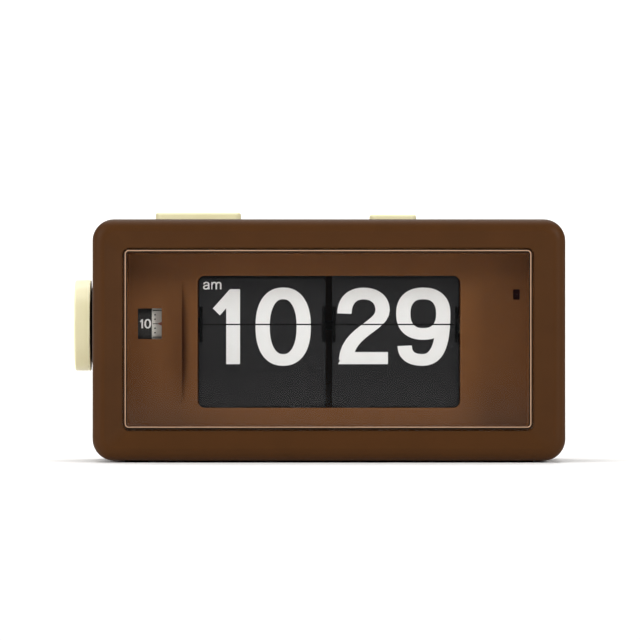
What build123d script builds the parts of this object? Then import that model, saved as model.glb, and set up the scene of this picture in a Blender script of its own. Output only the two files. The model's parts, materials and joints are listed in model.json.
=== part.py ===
from build123d import *
import os
from math import acos, atan2, cos, degrees, hypot, pi, radians, sin, sqrt, tan

# A battery flip-number alarm clock. A moulded case in two shells has a clear lens over a deep dial panel.
# Behind the panel, an hour drum and a minute drum share one shaft, with an alarm drum coaxial at the left.
#
# Frame: +Z up, the dial faces -Y, and the origin is the middle of the whole clock's footprint, on the table.
# Three work planes carry every piece: face_at(depth) for what is seen from the front, side_at(x) for what
# turns about the drum axis, and level_at(z) for what is pressed or stands.

os.makedirs("parts", exist_ok=True)

# ---- Case ------------------------------------------------------------------------------------------------
CASE_W, CASE_H, CASE_D = 200.8, 102.5, 90.0
CORNER_R = 9.2          # corners seen from the front
EDGE_R = 5.0            # round-over of the front edge
WALL = 2.5
FOOT_PROUD = 0.8
SHELL_D = 66.0          # depth where the front shell meets the rear cover
KNOB_PROUD = 8.9        # alarm knob, beyond the case's left side
WHEEL_PROUD = 3.5       # time-setting wheel, beyond the case's back

CASE_X = KNOB_PROUD / 2                     # the case's middle, right of the origin
FRONT_Y = -(CASE_D + WHEEL_PROUD) / 2       # the case's front
BASE_Z = FOOT_PROUD
TOP_Z = BASE_Z + CASE_H
CASE_Z = BASE_Z + CASE_H / 2

# ---- Lens opening: a sloping bezel, a thin rim, the lens, then the dial panel's tray ----------------------
OPEN_X, OPEN_Z = -0.4, 0.2                  # the opening's middle from the case's middle
RIM_W, RIM_H, RIM_R = 173.6, 76.5, 2.6      # outside of the lens rim
RIM_GAP, RIM_BAND, RIM_ROUND = 0.6, 1.5, 0.6
CREST = 5.2                                 # the bezel's crest, in from the case's outline
SLOPE_D = 2.4
RIM_FRONT, LENS_FRONT, LENS_T = 1.9, 3.6, 1.6
LENS_BACK = LENS_FRONT + LENS_T
TRAY_FLANGE_T = 1.2
BEZEL_BACK = LENS_BACK + TRAY_FLANGE_T
PANEL_DEPTH, PANEL_T = 25.0, 1.6
PANEL_BACK = PANEL_DEPTH + PANEL_T

# ---- Drums and leaves --------------------------------------------------------------------------------------
HINGE_R = 22.0          # circle of the leaves' pins
LEAF_T = 0.15
LEAF_H = 19.65          # whole height of one leaf
LEAF_INNER, LEAF_OUTER = 1.4, 55.5          # a leaf's side edges from the case's middle
NOTCH_W, NOTCH_H = 1.6, 7.6
SPLIT_GAP = 0.45        # between the upper and lower leaf
FLAP_PROUD = 0.35       # how far the falling leaf stands out of the hinge circle
AXIS_DEPTH = 49.6
LEAD_DEG = 1.0          # the split line stands this far up the hinge circle
SPLIT_Z = 58.6
AXIS_Z = SPLIT_Z - HINGE_R * sin(radians(LEAD_DEG))
AXIS_Y = FRONT_Y + AXIS_DEPTH
DISC_T, DISC_R = 1.2, 22.7
DISC_INSET = 0.2        # disc's outer face inside the leaves' side edge
PIN_R, PIN_HOLE_R = 0.35, 0.45
HUB_R, SHAFT_R = 6.0, 2.0
RUN = 0.05              # radial clearance of a running fit

WINDOW_W, WINDOW_TOP, WINDOW_BOTTOM, WINDOW_R = 112.2, 79.4, 22.95, 3.0
WINDOW_ROUND = 0.8      # round-over of the window's front edge

# ---- Gears ------------------------------------------------------------------------------------------------
PRESSURE, ADDENDUM, DEDENDUM, BACKLASH = radians(25), 0.8, 1.1, 0.14
FINE, MEDIUM, COARSE = 0.6, 0.7, 0.8        # modules
FLANK_POINTS = 4
HOUR_TEETH, MINUTE_TEETH = 60, 60
CARRY_IN, CARRY_WHEEL, CARRY_OUT = 12, 48, 10
RELAY_IN, RELAY_OUT, TRIP_TEETH = 20, 24, 36
MOTOR_TEETH, RUN_TEETH, IDLER_TEETH, SET_TEETH = 10, 12, 30, 14

# ---- Stations along the drum axis, from the case's middle -------------------------------------------------
LEFT_PLATE_X, PLATE_T = -58.6, 1.2
HOUR_WHEEL_X, WHEEL_T = -61.4, 1.5
CARRY_X = -65.4
GEAR_PLATE_X, GEAR_PLATE_T = -69.8, 2.4
ALARM_DRUM_X, ALARM_DRUM_W, ALARM_DRUM_R = -82.4, 11.3, 22.0
TRIP_X = -86.4
ALARM_PLATE_X = -90.4
RIGHT_TRAIN_X, RUN_GEAR_X = 57.0, 59.2
SET_WHEEL_X, SET_WHEEL_T, SET_WHEEL_R = 59.4, 3.0, 11.0
RIGHT_PLATE_X = 63.0

ALARM_WINDOW = (-76.6, 58.9, 10.2, 13.1)        # middle x, middle z, width, height
RUN_WINDOW = (80.2, 71.4, 2.9, 4.4)
HOOD_LIP_X, HOOD_Z, HOOD_HALF, HOOD_PROUD, HOOD_REACH = -62.9, 51.0, 26.1, 2.0, 8.4
SCOOP_DEEP, SCOOP_REACH = 2.6, 3.9              # crescent sunk into the panel by the hood's opening

SNOOZE = (-55.9, 36.6, 3.2)                     # middle x, width, height above the case
LIGHT = (27.4, 20.1, 2.4)
BUTTON_DEPTH, BUTTON_D, BUTTON_GAP, BUTTON_TRAVEL = 33.0, 14.0, 0.3, 2.0
BRACKET_Z = 90.0

C_CELL_R, C_CELL_L, C_CELL_X, C_CELL_Z = 13.1, 50.0, 79.2, 18.2
AA_R, AA_L, AA_X, AA_PITCH, AA_Z = 7.25, 50.4, -77.0, 15.6, 12.4
CELL_FRONT = 36.3
DOOR_T, DOOR_PIN_R, DOOR_PIN_L = 2.0, 0.5, 1.0


ON_PLANE = (Align.CENTER, Align.CENTER, Align.MIN)


def face_at(depth):
    """Plane facing the viewer at a depth behind the case's front, centred on the case."""
    return Plane((CASE_X, FRONT_Y + depth, CASE_Z), x_dir=(1, 0, 0), z_dir=(0, -1, 0))


def side_at(x):
    """Plane square to the drum axis, x from the case's middle: local x is depth, local y is height."""
    return Plane((CASE_X + x, AXIS_Y, AXIS_Z), x_dir=(0, 1, 0), z_dir=(1, 0, 0))


def level_at(z):
    """Horizontal plane: local x from the case's middle, local y is depth behind the case's front."""
    return Plane((CASE_X, FRONT_Y, z), x_dir=(1, 0, 0), z_dir=(0, 0, 1))


def from_axis(depth, z):
    """A point of side_at for a depth behind the case's front and a height above the table."""
    return (depth - AXIS_DEPTH, z - AXIS_Z)


def polar(radius, angle):
    return (radius * cos(radians(angle)), radius * sin(radians(angle)))


def save(piece, name):
    piece.part.label = name
    export_step(piece.part, f"parts/{name}.step")


# ---- Gear geometry ----------------------------------------------------------------------------------------
def pitch_r(teeth, module):
    return teeth * module / 2


def gear_points(centre, teeth, module, phase):
    """Outline of a spur gear with involute flanks; phase is the angle of one tooth's middle, in degrees."""
    rp = pitch_r(teeth, module)
    base = rp * cos(PRESSURE)
    root, tip = rp - DEDENDUM * module, rp + ADDENDUM * module
    start = max(base, root)
    half = (pi * module / 2 - BACKLASH / 2) / (2 * rp) + tan(PRESSURE) - PRESSURE

    def half_angle(r):
        a = acos(min(1.0, base / r))
        return half - (tan(a) - a)

    radii = [start + (tip - start) * i / (FLANK_POINTS - 1) for i in range(FLANK_POINTS)]
    flank = [(root, half_angle(start))] + [(r, half_angle(r)) for r in radii]
    points = []
    for tooth in range(teeth):
        middle = radians(phase) + 2 * pi * tooth / teeth
        sides = [(r, middle - a) for r, a in flank] + [(r, middle + a) for r, a in reversed(flank)]
        points += [(centre[0] + r * cos(a), centre[1] + r * sin(a)) for r, a in sides]
    return points


def mesh_phase(driver_centre, driver_teeth, driver_phase, centre, teeth):
    """Phase that puts a gap of this gear on the driver's nearest tooth."""
    line = degrees(atan2(centre[1] - driver_centre[1], centre[0] - driver_centre[0]))
    past = ((line - driver_phase) * driver_teeth / 360) % 1
    return line + 180 + (past + 0.5) * 360 / teeth


def third_corner(a, reach_a, b, reach_b):
    """Point at the two given distances from a and b, on the lower side of the line from a to b."""
    dx, dy = b[0] - a[0], b[1] - a[1]
    span = hypot(dx, dy)
    along = (reach_a**2 - reach_b**2 + span**2) / (2 * span)
    out = sqrt(reach_a**2 - along**2)
    return (a[0] + (along * dx + out * dy) / span, a[1] + (along * dy - out * dx) / span)


AXIS = (0.0, 0.0)
CARRY = polar(pitch_r(CARRY_IN + CARRY_WHEEL, MEDIUM), -30)
RELAY = polar(pitch_r(HOUR_TEETH + RELAY_IN, FINE), 45)
MOTOR = polar(pitch_r(MINUTE_TEETH + MOTOR_TEETH, FINE), 125)
SET = from_axis(CASE_D + WHEEL_PROUD - SET_WHEEL_R, 44.0)
IDLER = third_corner(
    AXIS, pitch_r(MINUTE_TEETH + IDLER_TEETH, FINE), SET, pitch_r(SET_TEETH + IDLER_TEETH, FINE)
)
RUN_REACH = pitch_r(MOTOR_TEETH + RUN_TEETH, FINE)
RUN_DROP = MOTOR[1] - (RUN_WINDOW[1] - AXIS_Z)
RUN_AXIS = (MOTOR[0] - sqrt(RUN_REACH**2 - RUN_DROP**2), MOTOR[1] - RUN_DROP)

CARRY_WHEEL_PHASE = mesh_phase(AXIS, CARRY_IN, 0, CARRY, CARRY_WHEEL)
CARRY_OUT_PHASE = mesh_phase(AXIS, HOUR_TEETH, 0, CARRY, CARRY_OUT)
RELAY_IN_PHASE = mesh_phase(AXIS, HOUR_TEETH, 0, RELAY, RELAY_IN)
TRIP_PHASE = mesh_phase(RELAY, RELAY_OUT, 0, AXIS, TRIP_TEETH)
MOTOR_PHASE = mesh_phase(AXIS, MINUTE_TEETH, 0, MOTOR, MOTOR_TEETH)
RUN_PHASE = mesh_phase(MOTOR, MOTOR_TEETH, MOTOR_PHASE, RUN_AXIS, RUN_TEETH)
IDLER_PHASE = mesh_phase(AXIS, MINUTE_TEETH, 0, IDLER, IDLER_TEETH)
SET_PHASE = mesh_phase(IDLER, IDLER_TEETH, IDLER_PHASE, SET, SET_TEETH)


def gear_face(centre, teeth, module, phase):
    """Adds a gear's outline to the sketch being built."""
    Polygon(*gear_points(centre, teeth, module, phase), align=None)


# ================================ Case and what is seen from outside ================================
INSIDE_W, INSIDE_H, INSIDE_R = CASE_W - 2 * WALL, CASE_H - 2 * WALL, CORNER_R - WALL
TONGUE_LOW = 34.0       # the tongue's lower end above the case's underside
TONGUE_OUT, TONGUE_IN, TONGUE_T, TONGUE_FIT = 2.5, 8.0, 1.2, 0.1
BOSS_R = 3.0
SCREW_R, SCREW_HEAD_R, SCREW_HEAD_T, SCREW_L = 1.2, 2.2, 1.6, 32.0
SCREW_SEAT = CASE_D - 4.0
BOSSES = [(-92.4, 43.9), (92.4, 43.9), (-50.0, -43.9), (50.0, -43.9)]
FOOT_R, FOOT_T = 5.0, 1.5
FEET = [(x, depth) for x in (-82.0, 82.0) for depth in (16.0, 77.0)]
OPEN_W, OPEN_H = RIM_W + 2 * RIM_GAP, RIM_H + 2 * RIM_GAP
LENS_W, LENS_H, LENS_R = RIM_W + 5.0, RIM_H + 5.0, 4.0
BUSH_R, BUSH_FLANGE_R, BUSH_PROUD = 5.2, 16.4, 1.75
CLOCK_DOOR = (C_CELL_X, C_CELL_Z, 28.0, 27.0)
ALARM_DOOR = (AA_X, AA_Z, 31.0, 15.4)
DOOR_GAP, DOOR_CORNER_R = 0.25, 0.4
PIN_SOCKET = DOOR_PIN_L + DOOR_GAP + 0.1        # how far a hinge pin's socket runs past the door's side
GRILLE = (-72.0, 75.0)
SET_SLOT_H = 21.0


def door_outline(door, gap):
    """One battery door's outline, grown by a gap all round, on the sketch being built."""
    with Locations((door[0], door[1] - CASE_Z)):
        RectangleRounded(door[2] + 2 * gap, door[3] + 2 * gap, DOOR_CORNER_R)


def ring_face(near, far):
    """A band inside the case's walls, between two distances from them, on the sketch being built."""
    RectangleRounded(INSIDE_W - 2 * near, INSIDE_H - 2 * near, INSIDE_R - near)
    RectangleRounded(INSIDE_W - 2 * far, INSIDE_H - 2 * far, INSIDE_R - far, mode=Mode.SUBTRACT)


def hinge_line(door, beyond):
    """Place on a battery door's hinge line, along its bottom edge, a distance beyond its left side."""
    x, z, width, height = door
    depth, up = from_axis(CASE_D - DOOR_T / 2, z - height / 2 + DOOR_T / 2)
    return side_at(x - width / 2 - beyond).location * Location((depth, up, 0))


with BuildPart() as front_case:
    with BuildSketch(face_at(0)):
        RectangleRounded(CASE_W, CASE_H, CORNER_R)
    extrude(amount=-SHELL_D)
    fillet(front_case.faces().sort_by(Axis.Y)[0].edges(), EDGE_R)
    with BuildSketch(face_at(0)):
        RectangleRounded(CASE_W - 2 * CREST, CASE_H - 2 * CREST, CORNER_R - CREST + 1)
    with BuildSketch(face_at(SLOPE_D)):
        with Locations((OPEN_X, OPEN_Z)):
            RectangleRounded(OPEN_W, OPEN_H, RIM_R + RIM_GAP)
    loft(mode=Mode.SUBTRACT)
    with BuildSketch(face_at(SLOPE_D)):
        with Locations((OPEN_X, OPEN_Z)):
            RectangleRounded(OPEN_W, OPEN_H, RIM_R + RIM_GAP)
    extrude(amount=SLOPE_D - LENS_FRONT, mode=Mode.SUBTRACT)
    with BuildSketch(face_at(LENS_FRONT)):
        with Locations((OPEN_X, OPEN_Z)):
            RectangleRounded(LENS_W + 0.4, LENS_H + 0.4, LENS_R + 0.2)
    extrude(amount=LENS_FRONT - BEZEL_BACK, mode=Mode.SUBTRACT)
    with BuildSketch(face_at(BEZEL_BACK)):
        RectangleRounded(INSIDE_W, INSIDE_H, INSIDE_R)
    extrude(amount=BEZEL_BACK - SHELL_D, mode=Mode.SUBTRACT)
    with BuildSketch(face_at(BEZEL_BACK)):
        with Locations(*BOSSES):
            Circle(BOSS_R)
    extrude(amount=BEZEL_BACK - SHELL_D)
    with BuildSketch(face_at(SHELL_D)):
        with Locations(*BOSSES):
            Circle(SCREW_R + RUN)
    extrude(amount=SCREW_L, mode=Mode.SUBTRACT)
    with BuildSketch(level_at(TOP_Z - WALL)):
        for middle, width, _ in (SNOOZE, LIGHT):
            with Locations((middle, BUTTON_DEPTH)):
                RectangleRounded(width + 2 * BUTTON_GAP, BUTTON_D + 2 * BUTTON_GAP, 3.0 + BUTTON_GAP)
    extrude(amount=WALL, mode=Mode.SUBTRACT)
    with BuildSketch(side_at(-CASE_W / 2)):
        Circle(BUSH_R)
    extrude(amount=WALL, mode=Mode.SUBTRACT)
    with BuildSketch(level_at(BASE_Z)):
        with Locations(*[foot for foot in FEET if foot[1] < SHELL_D]):
            Circle(FOOT_R + 0.1)
    extrude(amount=FOOT_T - FOOT_PROUD, mode=Mode.SUBTRACT)
save(front_case, "front_case")

with BuildPart() as rear_cover:
    with BuildSketch(face_at(SHELL_D)):
        RectangleRounded(CASE_W, CASE_H, CORNER_R)
    extrude(amount=SHELL_D - CASE_D)
    fillet(rear_cover.faces().sort_by(Axis.Y)[-1].edges(), 4.0)
    with BuildSketch(face_at(SHELL_D)):
        RectangleRounded(INSIDE_W, INSIDE_H, INSIDE_R)
    extrude(amount=SHELL_D - CASE_D + WALL, mode=Mode.SUBTRACT)
    # A tongue inside the front shell's mouth keeps the two in line. It stops above the battery boxes.
    with BuildSketch(face_at(SHELL_D)):
        ring_face(TONGUE_FIT, TONGUE_FIT + TONGUE_T)
        with Locations(*BOSSES):
            Rectangle(4 * BOSS_R, 4 * BOSS_R, mode=Mode.SUBTRACT)
        with Locations((0, -CASE_H / 2)):
            Rectangle(CASE_W, 2 * TONGUE_LOW, mode=Mode.SUBTRACT)
    extrude(amount=TONGUE_OUT)
    with BuildSketch(face_at(SHELL_D)):
        ring_face(0, TONGUE_T / 2)
        with Locations((0, -CASE_H / 2)):
            Rectangle(CASE_W, 2 * TONGUE_LOW, mode=Mode.SUBTRACT)
    extrude(amount=-TONGUE_IN)
    with BuildSketch(face_at(SHELL_D)):
        with Locations(*BOSSES):
            Circle(BOSS_R)
    extrude(amount=SHELL_D - CASE_D + WALL)
    with BuildSketch(face_at(SHELL_D)):
        with Locations(*BOSSES):
            Circle(SCREW_R + 0.15)
    extrude(amount=SHELL_D - CASE_D, mode=Mode.SUBTRACT)
    with BuildSketch(face_at(SCREW_SEAT)):
        with Locations(*BOSSES):
            Circle(SCREW_HEAD_R + 0.2)
    extrude(amount=SCREW_SEAT - CASE_D, mode=Mode.SUBTRACT)
    with BuildSketch(face_at(CASE_D - WALL)):
        door_outline(CLOCK_DOOR, DOOR_GAP)
        door_outline(ALARM_DOOR, DOOR_GAP)
        with Locations((SET_WHEEL_X + SET_WHEEL_T / 2, SET[1] + AXIS_Z - CASE_Z)):
            Rectangle(SET_WHEEL_T + 1.4, SET_SLOT_H)
        with Locations((GRILLE[0], GRILLE[1] - CASE_Z)):
            Circle(0.9)
            for ring in (1, 2, 3):
                with PolarLocations(3.2 * ring, 6 * ring):
                    Circle(0.9)
    extrude(amount=-WALL, mode=Mode.SUBTRACT)
    for door in (CLOCK_DOOR, ALARM_DOOR):
        with Locations(hinge_line(door, PIN_SOCKET)):
            Cylinder(DOOR_PIN_R + RUN, door[2] + 2 * PIN_SOCKET, align=ON_PLANE, mode=Mode.SUBTRACT)
    with BuildSketch(level_at(BASE_Z)):
        with Locations(*[foot for foot in FEET if foot[1] > SHELL_D]):
            Circle(FOOT_R + 0.1)
    extrude(amount=FOOT_T - FOOT_PROUD, mode=Mode.SUBTRACT)
save(rear_cover, "rear_cover")

with BuildPart() as case_screws:
    with BuildSketch(face_at(SCREW_SEAT)):
        with Locations(*BOSSES):
            Circle(SCREW_HEAD_R)
    extrude(amount=-SCREW_HEAD_T)
    with BuildSketch(face_at(SCREW_SEAT)):
        with Locations(*BOSSES):
            Circle(SCREW_R)
    extrude(amount=SCREW_L)
    with BuildSketch(face_at(SCREW_SEAT + SCREW_HEAD_T)):
        with Locations(*BOSSES):
            Rectangle(3.0, 0.7)
            Rectangle(0.7, 3.0)
    extrude(amount=0.9, mode=Mode.SUBTRACT)
save(case_screws, "case_screws")

with BuildPart() as feet:
    with BuildSketch(level_at(0)):
        with Locations(*FEET):
            Circle(FOOT_R)
    extrude(amount=FOOT_T)
    chamfer(feet.faces().group_by(Axis.Z)[0].edges(), 0.3)
save(feet, "feet")

with BuildPart() as lens_rim:
    with BuildSketch(face_at(LENS_FRONT)):
        with Locations((OPEN_X, OPEN_Z)):
            RectangleRounded(RIM_W, RIM_H, RIM_R)
            RectangleRounded(RIM_W - 2 * RIM_BAND, RIM_H - 2 * RIM_BAND, RIM_R - RIM_BAND, mode=Mode.SUBTRACT)
    extrude(amount=LENS_FRONT - RIM_FRONT)
    fillet(lens_rim.faces().sort_by(Axis.Y)[0].edges(), RIM_ROUND)
save(lens_rim, "lens_rim")

with BuildPart() as lens:
    with BuildSketch(face_at(LENS_FRONT)):
        with Locations((OPEN_X, OPEN_Z)):
            RectangleRounded(LENS_W, LENS_H, LENS_R)
    extrude(amount=-LENS_T)
save(lens, "lens")

# ---- Dial panel: a tray with a flange behind the lens, drafted walls, the windows and the lamp's hood ----
TRAY_WALL = 1.6
TRAY_W, TRAY_H = 171.2, 74.0            # inside, at the lens
PANEL_W, PANEL_H = 170.6, 73.0          # inside, at the panel
PANEL_POSTS = [(x, z) for x in (-61.9, 59.6) for z in (18.5, 84.0)]
POST_R, POST_END = 2.4, 30.4
HOOD_STATIONS = 9
HOOD_WALL, CAVITY_REACH, CAVITY_HALF = 0.7, 5.6, 24.0
SLOT_W, SLOT_H, SLOT_X = 4.6, 22.0, HOOD_LIP_X - 3.0     # opening in the panel, behind the hood, for the lamp
RIB_W, RIB_H, RIB_X, RIB_END = 2.5, 36.0, HOOD_LIP_X + 0.75, 28.5     # thickening behind the scoop


def ramp_solid(reach, rise, root, half):
    """A low ramp on the panel, upright at the hood's lip and running out smoothly, lower towards both ends.

    A positive reach runs to the left, a positive rise stands out of the panel, and root is its buried side.
    """
    far, buried = HOOD_LIP_X - reach, PANEL_DEPTH + root
    with BuildPart() as piece:
        for station in range(HOOD_STATIONS):
            share = 2 * station / (HOOD_STATIONS - 1) - 1
            crest = (HOOD_LIP_X, PANEL_DEPTH - rise * (1.02 - share**2))
            with BuildSketch(level_at(HOOD_Z + half * share)):
                with BuildLine():
                    Polyline((far, PANEL_DEPTH), (far, buried), (HOOD_LIP_X, buried), crest)
                    Bezier(crest, (HOOD_LIP_X - reach / 2, PANEL_DEPTH), (far, PANEL_DEPTH))
                make_face()
        loft()
    return piece.part


def near(edges, axis, low, high):
    """The edges whose middles lie between two positions along an axis."""
    return edges.filter_by_position(axis, low - 0.01, high + 0.01)


hood = ramp_solid(HOOD_REACH, HOOD_PROUD, PANEL_T / 2, HOOD_HALF)
hood_cavity = ramp_solid(CAVITY_REACH, HOOD_PROUD - HOOD_WALL, PANEL_T / 2, CAVITY_HALF)
scoop = ramp_solid(-SCOOP_REACH, -SCOOP_DEEP, -0.5, HOOD_HALF)

with BuildPart() as dial_panel:
    with BuildSketch(face_at(LENS_BACK)):
        with Locations((OPEN_X, OPEN_Z)):
            RectangleRounded(LENS_W, LENS_H, LENS_R)
    extrude(amount=-TRAY_FLANGE_T)
    with BuildSketch(face_at(LENS_BACK)):
        with Locations((OPEN_X, OPEN_Z)):
            RectangleRounded(TRAY_W + 2 * TRAY_WALL, TRAY_H + 2 * TRAY_WALL, 2.6)
    extrude(amount=LENS_BACK - PANEL_BACK)
    with BuildSketch(face_at(LENS_BACK)):
        with Locations((OPEN_X, OPEN_Z)):
            RectangleRounded(TRAY_W, TRAY_H, 1.4)
    with BuildSketch(face_at(PANEL_DEPTH)):
        with Locations((OPEN_X, OPEN_Z)):
            RectangleRounded(PANEL_W, PANEL_H, 1.2)
    loft(mode=Mode.SUBTRACT)
    with BuildSketch(face_at(PANEL_DEPTH)):
        with Locations((0, (WINDOW_TOP + WINDOW_BOTTOM) / 2 - CASE_Z)):
            RectangleRounded(WINDOW_W, WINDOW_TOP - WINDOW_BOTTOM, WINDOW_R)
    extrude(amount=-PANEL_T, mode=Mode.SUBTRACT)
    brim = near(dial_panel.edges(), Axis.Y, FRONT_Y + PANEL_DEPTH, FRONT_Y + PANEL_DEPTH)
    brim = near(brim, Axis.Z, WINDOW_BOTTOM, WINDOW_TOP)
    brim = near(brim, Axis.X, CASE_X - WINDOW_W / 2, CASE_X + WINDOW_W / 2)
    fillet(brim, WINDOW_ROUND)
    with BuildSketch(face_at(PANEL_BACK)):
        with Locations((RIB_X, HOOD_Z - CASE_Z)):
            RectangleRounded(RIB_W, RIB_H, 1.0)
    extrude(amount=PANEL_BACK - RIB_END)
    add(hood)
    add(hood_cavity, mode=Mode.SUBTRACT)
    add(scoop, mode=Mode.SUBTRACT)
    with BuildSketch(face_at(PANEL_DEPTH)):
        for x, z, width, height in (ALARM_WINDOW, RUN_WINDOW):
            with Locations((x, z - CASE_Z)):
                RectangleRounded(width, height, 0.3)
        with Locations((SLOT_X, HOOD_Z - CASE_Z)):
            RectangleRounded(SLOT_W, SLOT_H, 1.0)
    extrude(amount=-PANEL_T, mode=Mode.SUBTRACT)
    with BuildSketch(face_at(PANEL_BACK)):
        with Locations(*[(x, z - CASE_Z) for x, z in PANEL_POSTS]):
            Circle(POST_R)
    extrude(amount=PANEL_BACK - POST_END)
    with BuildSketch(face_at(POST_END)):
        with Locations(*[(x, z - CASE_Z) for x, z in PANEL_POSTS]):
            Circle(1.05)
    extrude(amount=3.0, mode=Mode.SUBTRACT)
save(dial_panel, "dial_panel")

with BuildPart() as alarm_pointer:
    right, middle = ALARM_WINDOW[0] + ALARM_WINDOW[2] / 2, ALARM_WINDOW[1] - CASE_Z
    with BuildSketch(face_at(PANEL_BACK)):
        with BuildLine():
            corners = [(right + 1.6, middle + 1.5), (right - 1.9, middle), (right + 1.6, middle - 1.5)]
            Polyline(*corners, close=True)
        make_face()
    extrude(amount=-0.4)
save(alarm_pointer, "alarm_pointer")

# ---- Lamp behind the hood's slot ----
LAMP_X, LAMP_DEPTH, LAMP_R, LAMP_L = SLOT_X, 26.6, 1.5, 11.0
with BuildPart() as lamp:
    with BuildSketch(level_at(HOOD_Z - LAMP_L / 2)):
        with Locations((LAMP_X, LAMP_DEPTH)):
            Circle(LAMP_R)
    extrude(amount=LAMP_L)
    fillet(lamp.faces().sort_by(Axis.Z)[-1].edges(), 1.3)
save(lamp, "lamp")

with BuildPart() as lamp_holder:
    with BuildSketch(level_at(HOOD_Z - LAMP_L / 2 - 5.0)):
        with Locations((LAMP_X, LAMP_DEPTH)):
            Circle(LAMP_R + 0.3)
    extrude(amount=5.0)
    with BuildSketch(face_at(PANEL_BACK)):
        with Locations((LAMP_X, HOOD_Z - LAMP_L / 2 - 2.5 - CASE_Z)):
            Rectangle(4.8, 5.0)
    extrude(amount=-3.4)
save(lamp_holder, "lamp_holder")

# ================================ Leaves ================================
HOUR_LEAVES, MINUTE_LEAVES = 24, 60
LEAF_W = LEAF_OUTER - LEAF_INNER
LEAF_CORNER_R = 2.0
NECK = 0.1              # plain plate between the notch and the pin
STAND_DEG = 9.0         # a leaf leans this much less than the turn its pins have made
DISC_FACE = LEAF_W / 2 - DISC_INSET


def hinge_angle(index, count):
    """Turn of a leaf's pins from the front, with the split line midway between two pin positions."""
    return LEAD_DEG + (index + 0.5) * 360 / count


def leaf_plane(middle_x, angle):
    """Plane of one leaf: origin on its pins, local y along the leaf, which leans back and then hangs."""
    lean = radians(min(max(angle - STAND_DEG, 0.0), 180.0)) if angle < 270 else pi
    across, up = polar(HINGE_R, 180 - angle)
    origin = (CASE_X + middle_x, AXIS_Y + across, AXIS_Z + up)
    return Plane(origin, x_dir=(1, 0, 0), z_dir=(0, -cos(lean), sin(lean)))


def leaf_outline(heel):
    """One leaf's flat outline; heel is how far it runs past its pins."""
    edge, notch = LEAF_W / 2, LEAF_W / 2 - NOTCH_W
    heel_y, notch_y, tip_y = SPLIT_GAP / 2 - heel, NOTCH_H - heel, LEAF_H - heel
    right = [(notch, heel_y), (notch, notch_y), (edge, notch_y), (edge, tip_y)]
    left = [(-x, y) for x, y in reversed(right)]
    Polygon(*right, *left, align=None)


def heel_of(count):
    """Height of the pins above the split line, on an upper leaf."""
    return HINGE_R * sin(radians(180 / count))


def make_leaf(count, pinned):
    """One leaf on the plane through its pins."""
    neck_end = LEAF_W / 2 - NOTCH_W + NECK
    with BuildPart() as leaf:
        with BuildSketch(Plane.XY.offset(-LEAF_T / 2)):
            leaf_outline(heel_of(count))
            Rectangle(2 * neck_end, 2 * PIN_R)
        extrude(amount=LEAF_T)
        fillet(leaf.edges().filter_by(Axis.Z).group_by(Axis.Y)[-1], LEAF_CORNER_R)
        if pinned:
            for side in (-1, 1):
                with BuildSketch(Plane.YZ.offset(side * neck_end)):
                    Circle(PIN_R)
                extrude(amount=side * (DISC_FACE - neck_end))
    return leaf.part


def leaf_pack(count, middle_x):
    """Every leaf but the falling one; the rearmost pin position is the falling leaf's."""
    leaf = make_leaf(count, True)
    places = [hinge_angle(index, count) for index in range(count) if index != count // 2]
    return [leaf.moved(leaf_plane(middle_x, angle).location) for angle in places]


LEAF_MIDDLE = (LEAF_INNER + LEAF_OUTER) / 2
hour_pack = leaf_pack(HOUR_LEAVES, -LEAF_MIDDLE)
minute_pack = leaf_pack(MINUTE_LEAVES, LEAF_MIDDLE)

with BuildPart() as hour_leaves:
    add(hour_pack)
save(hour_leaves, "hour_leaves")

with BuildPart() as minute_leaves:
    add(minute_pack)
save(minute_leaves, "minute_leaves")


def falling_leaf(count, middle_x):
    """The upper front leaf, standing on the split line that it falls about."""
    depth = AXIS_DEPTH - HINGE_R - FLAP_PROUD
    origin = (CASE_X + middle_x, FRONT_Y + depth, SPLIT_Z + heel_of(count))
    return make_leaf(count, False).moved(Plane(origin, x_dir=(1, 0, 0), z_dir=(0, -1, 0)).location)


hour_fall, minute_fall = falling_leaf(HOUR_LEAVES, -LEAF_MIDDLE), falling_leaf(MINUTE_LEAVES, LEAF_MIDDLE)

with BuildPart() as hour_flap:
    add(hour_fall)
save(hour_flap, "hour_flap")

with BuildPart() as minute_flap:
    add(minute_fall)
save(minute_flap, "minute_flap")

# ---- Fixed plates below the falling leaves, and the clips that hold each leaf's top edge ----
APRON_TOP, APRON_BOTTOM, APRON_DEPTH, APRON_T = SPLIT_Z - LEAF_H - 0.15, 23.6, 27.42, 0.25
TAB_W, TAB_SPREAD = 9.0, 16.0                   # the aprons' glued tabs, and how far each is from the middle
CLIP_W = 7.0


def apron(middle_x):
    """A plate as wide as a leaf, on two tabs glued behind the panel."""
    tabs = (middle_x - TAB_SPREAD, middle_x + TAB_SPREAD)
    with BuildPart() as piece:
        with BuildSketch(face_at(APRON_DEPTH)):
            with Locations((middle_x, (APRON_TOP + APRON_BOTTOM) / 2 - CASE_Z)):
                Rectangle(LEAF_W, APRON_TOP - APRON_BOTTOM)
        extrude(amount=-APRON_T)
        lower = [edge for edge in piece.edges().filter_by(Axis.Y) if edge.center().Z < APRON_BOTTOM + 0.1]
        fillet(lower, LEAF_CORNER_R)
        with BuildSketch(face_at(APRON_DEPTH)):
            with Locations(*[(x, APRON_BOTTOM - 2 - CASE_Z) for x in tabs]):
                Rectangle(TAB_W, 6)
        extrude(amount=-APRON_T)
        with BuildSketch(face_at(PANEL_BACK)):
            with Locations(*[(x, APRON_BOTTOM - 3.4 - CASE_Z) for x in tabs]):
                Rectangle(TAB_W, 3.2)
        extrude(amount=PANEL_BACK - APRON_DEPTH)
    return piece.part


apron_pair = [apron(-LEAF_MIDDLE), apron(LEAF_MIDDLE)]

with BuildPart() as leaf_aprons:
    add(apron_pair)
save(leaf_aprons, "leaf_aprons")

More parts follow.
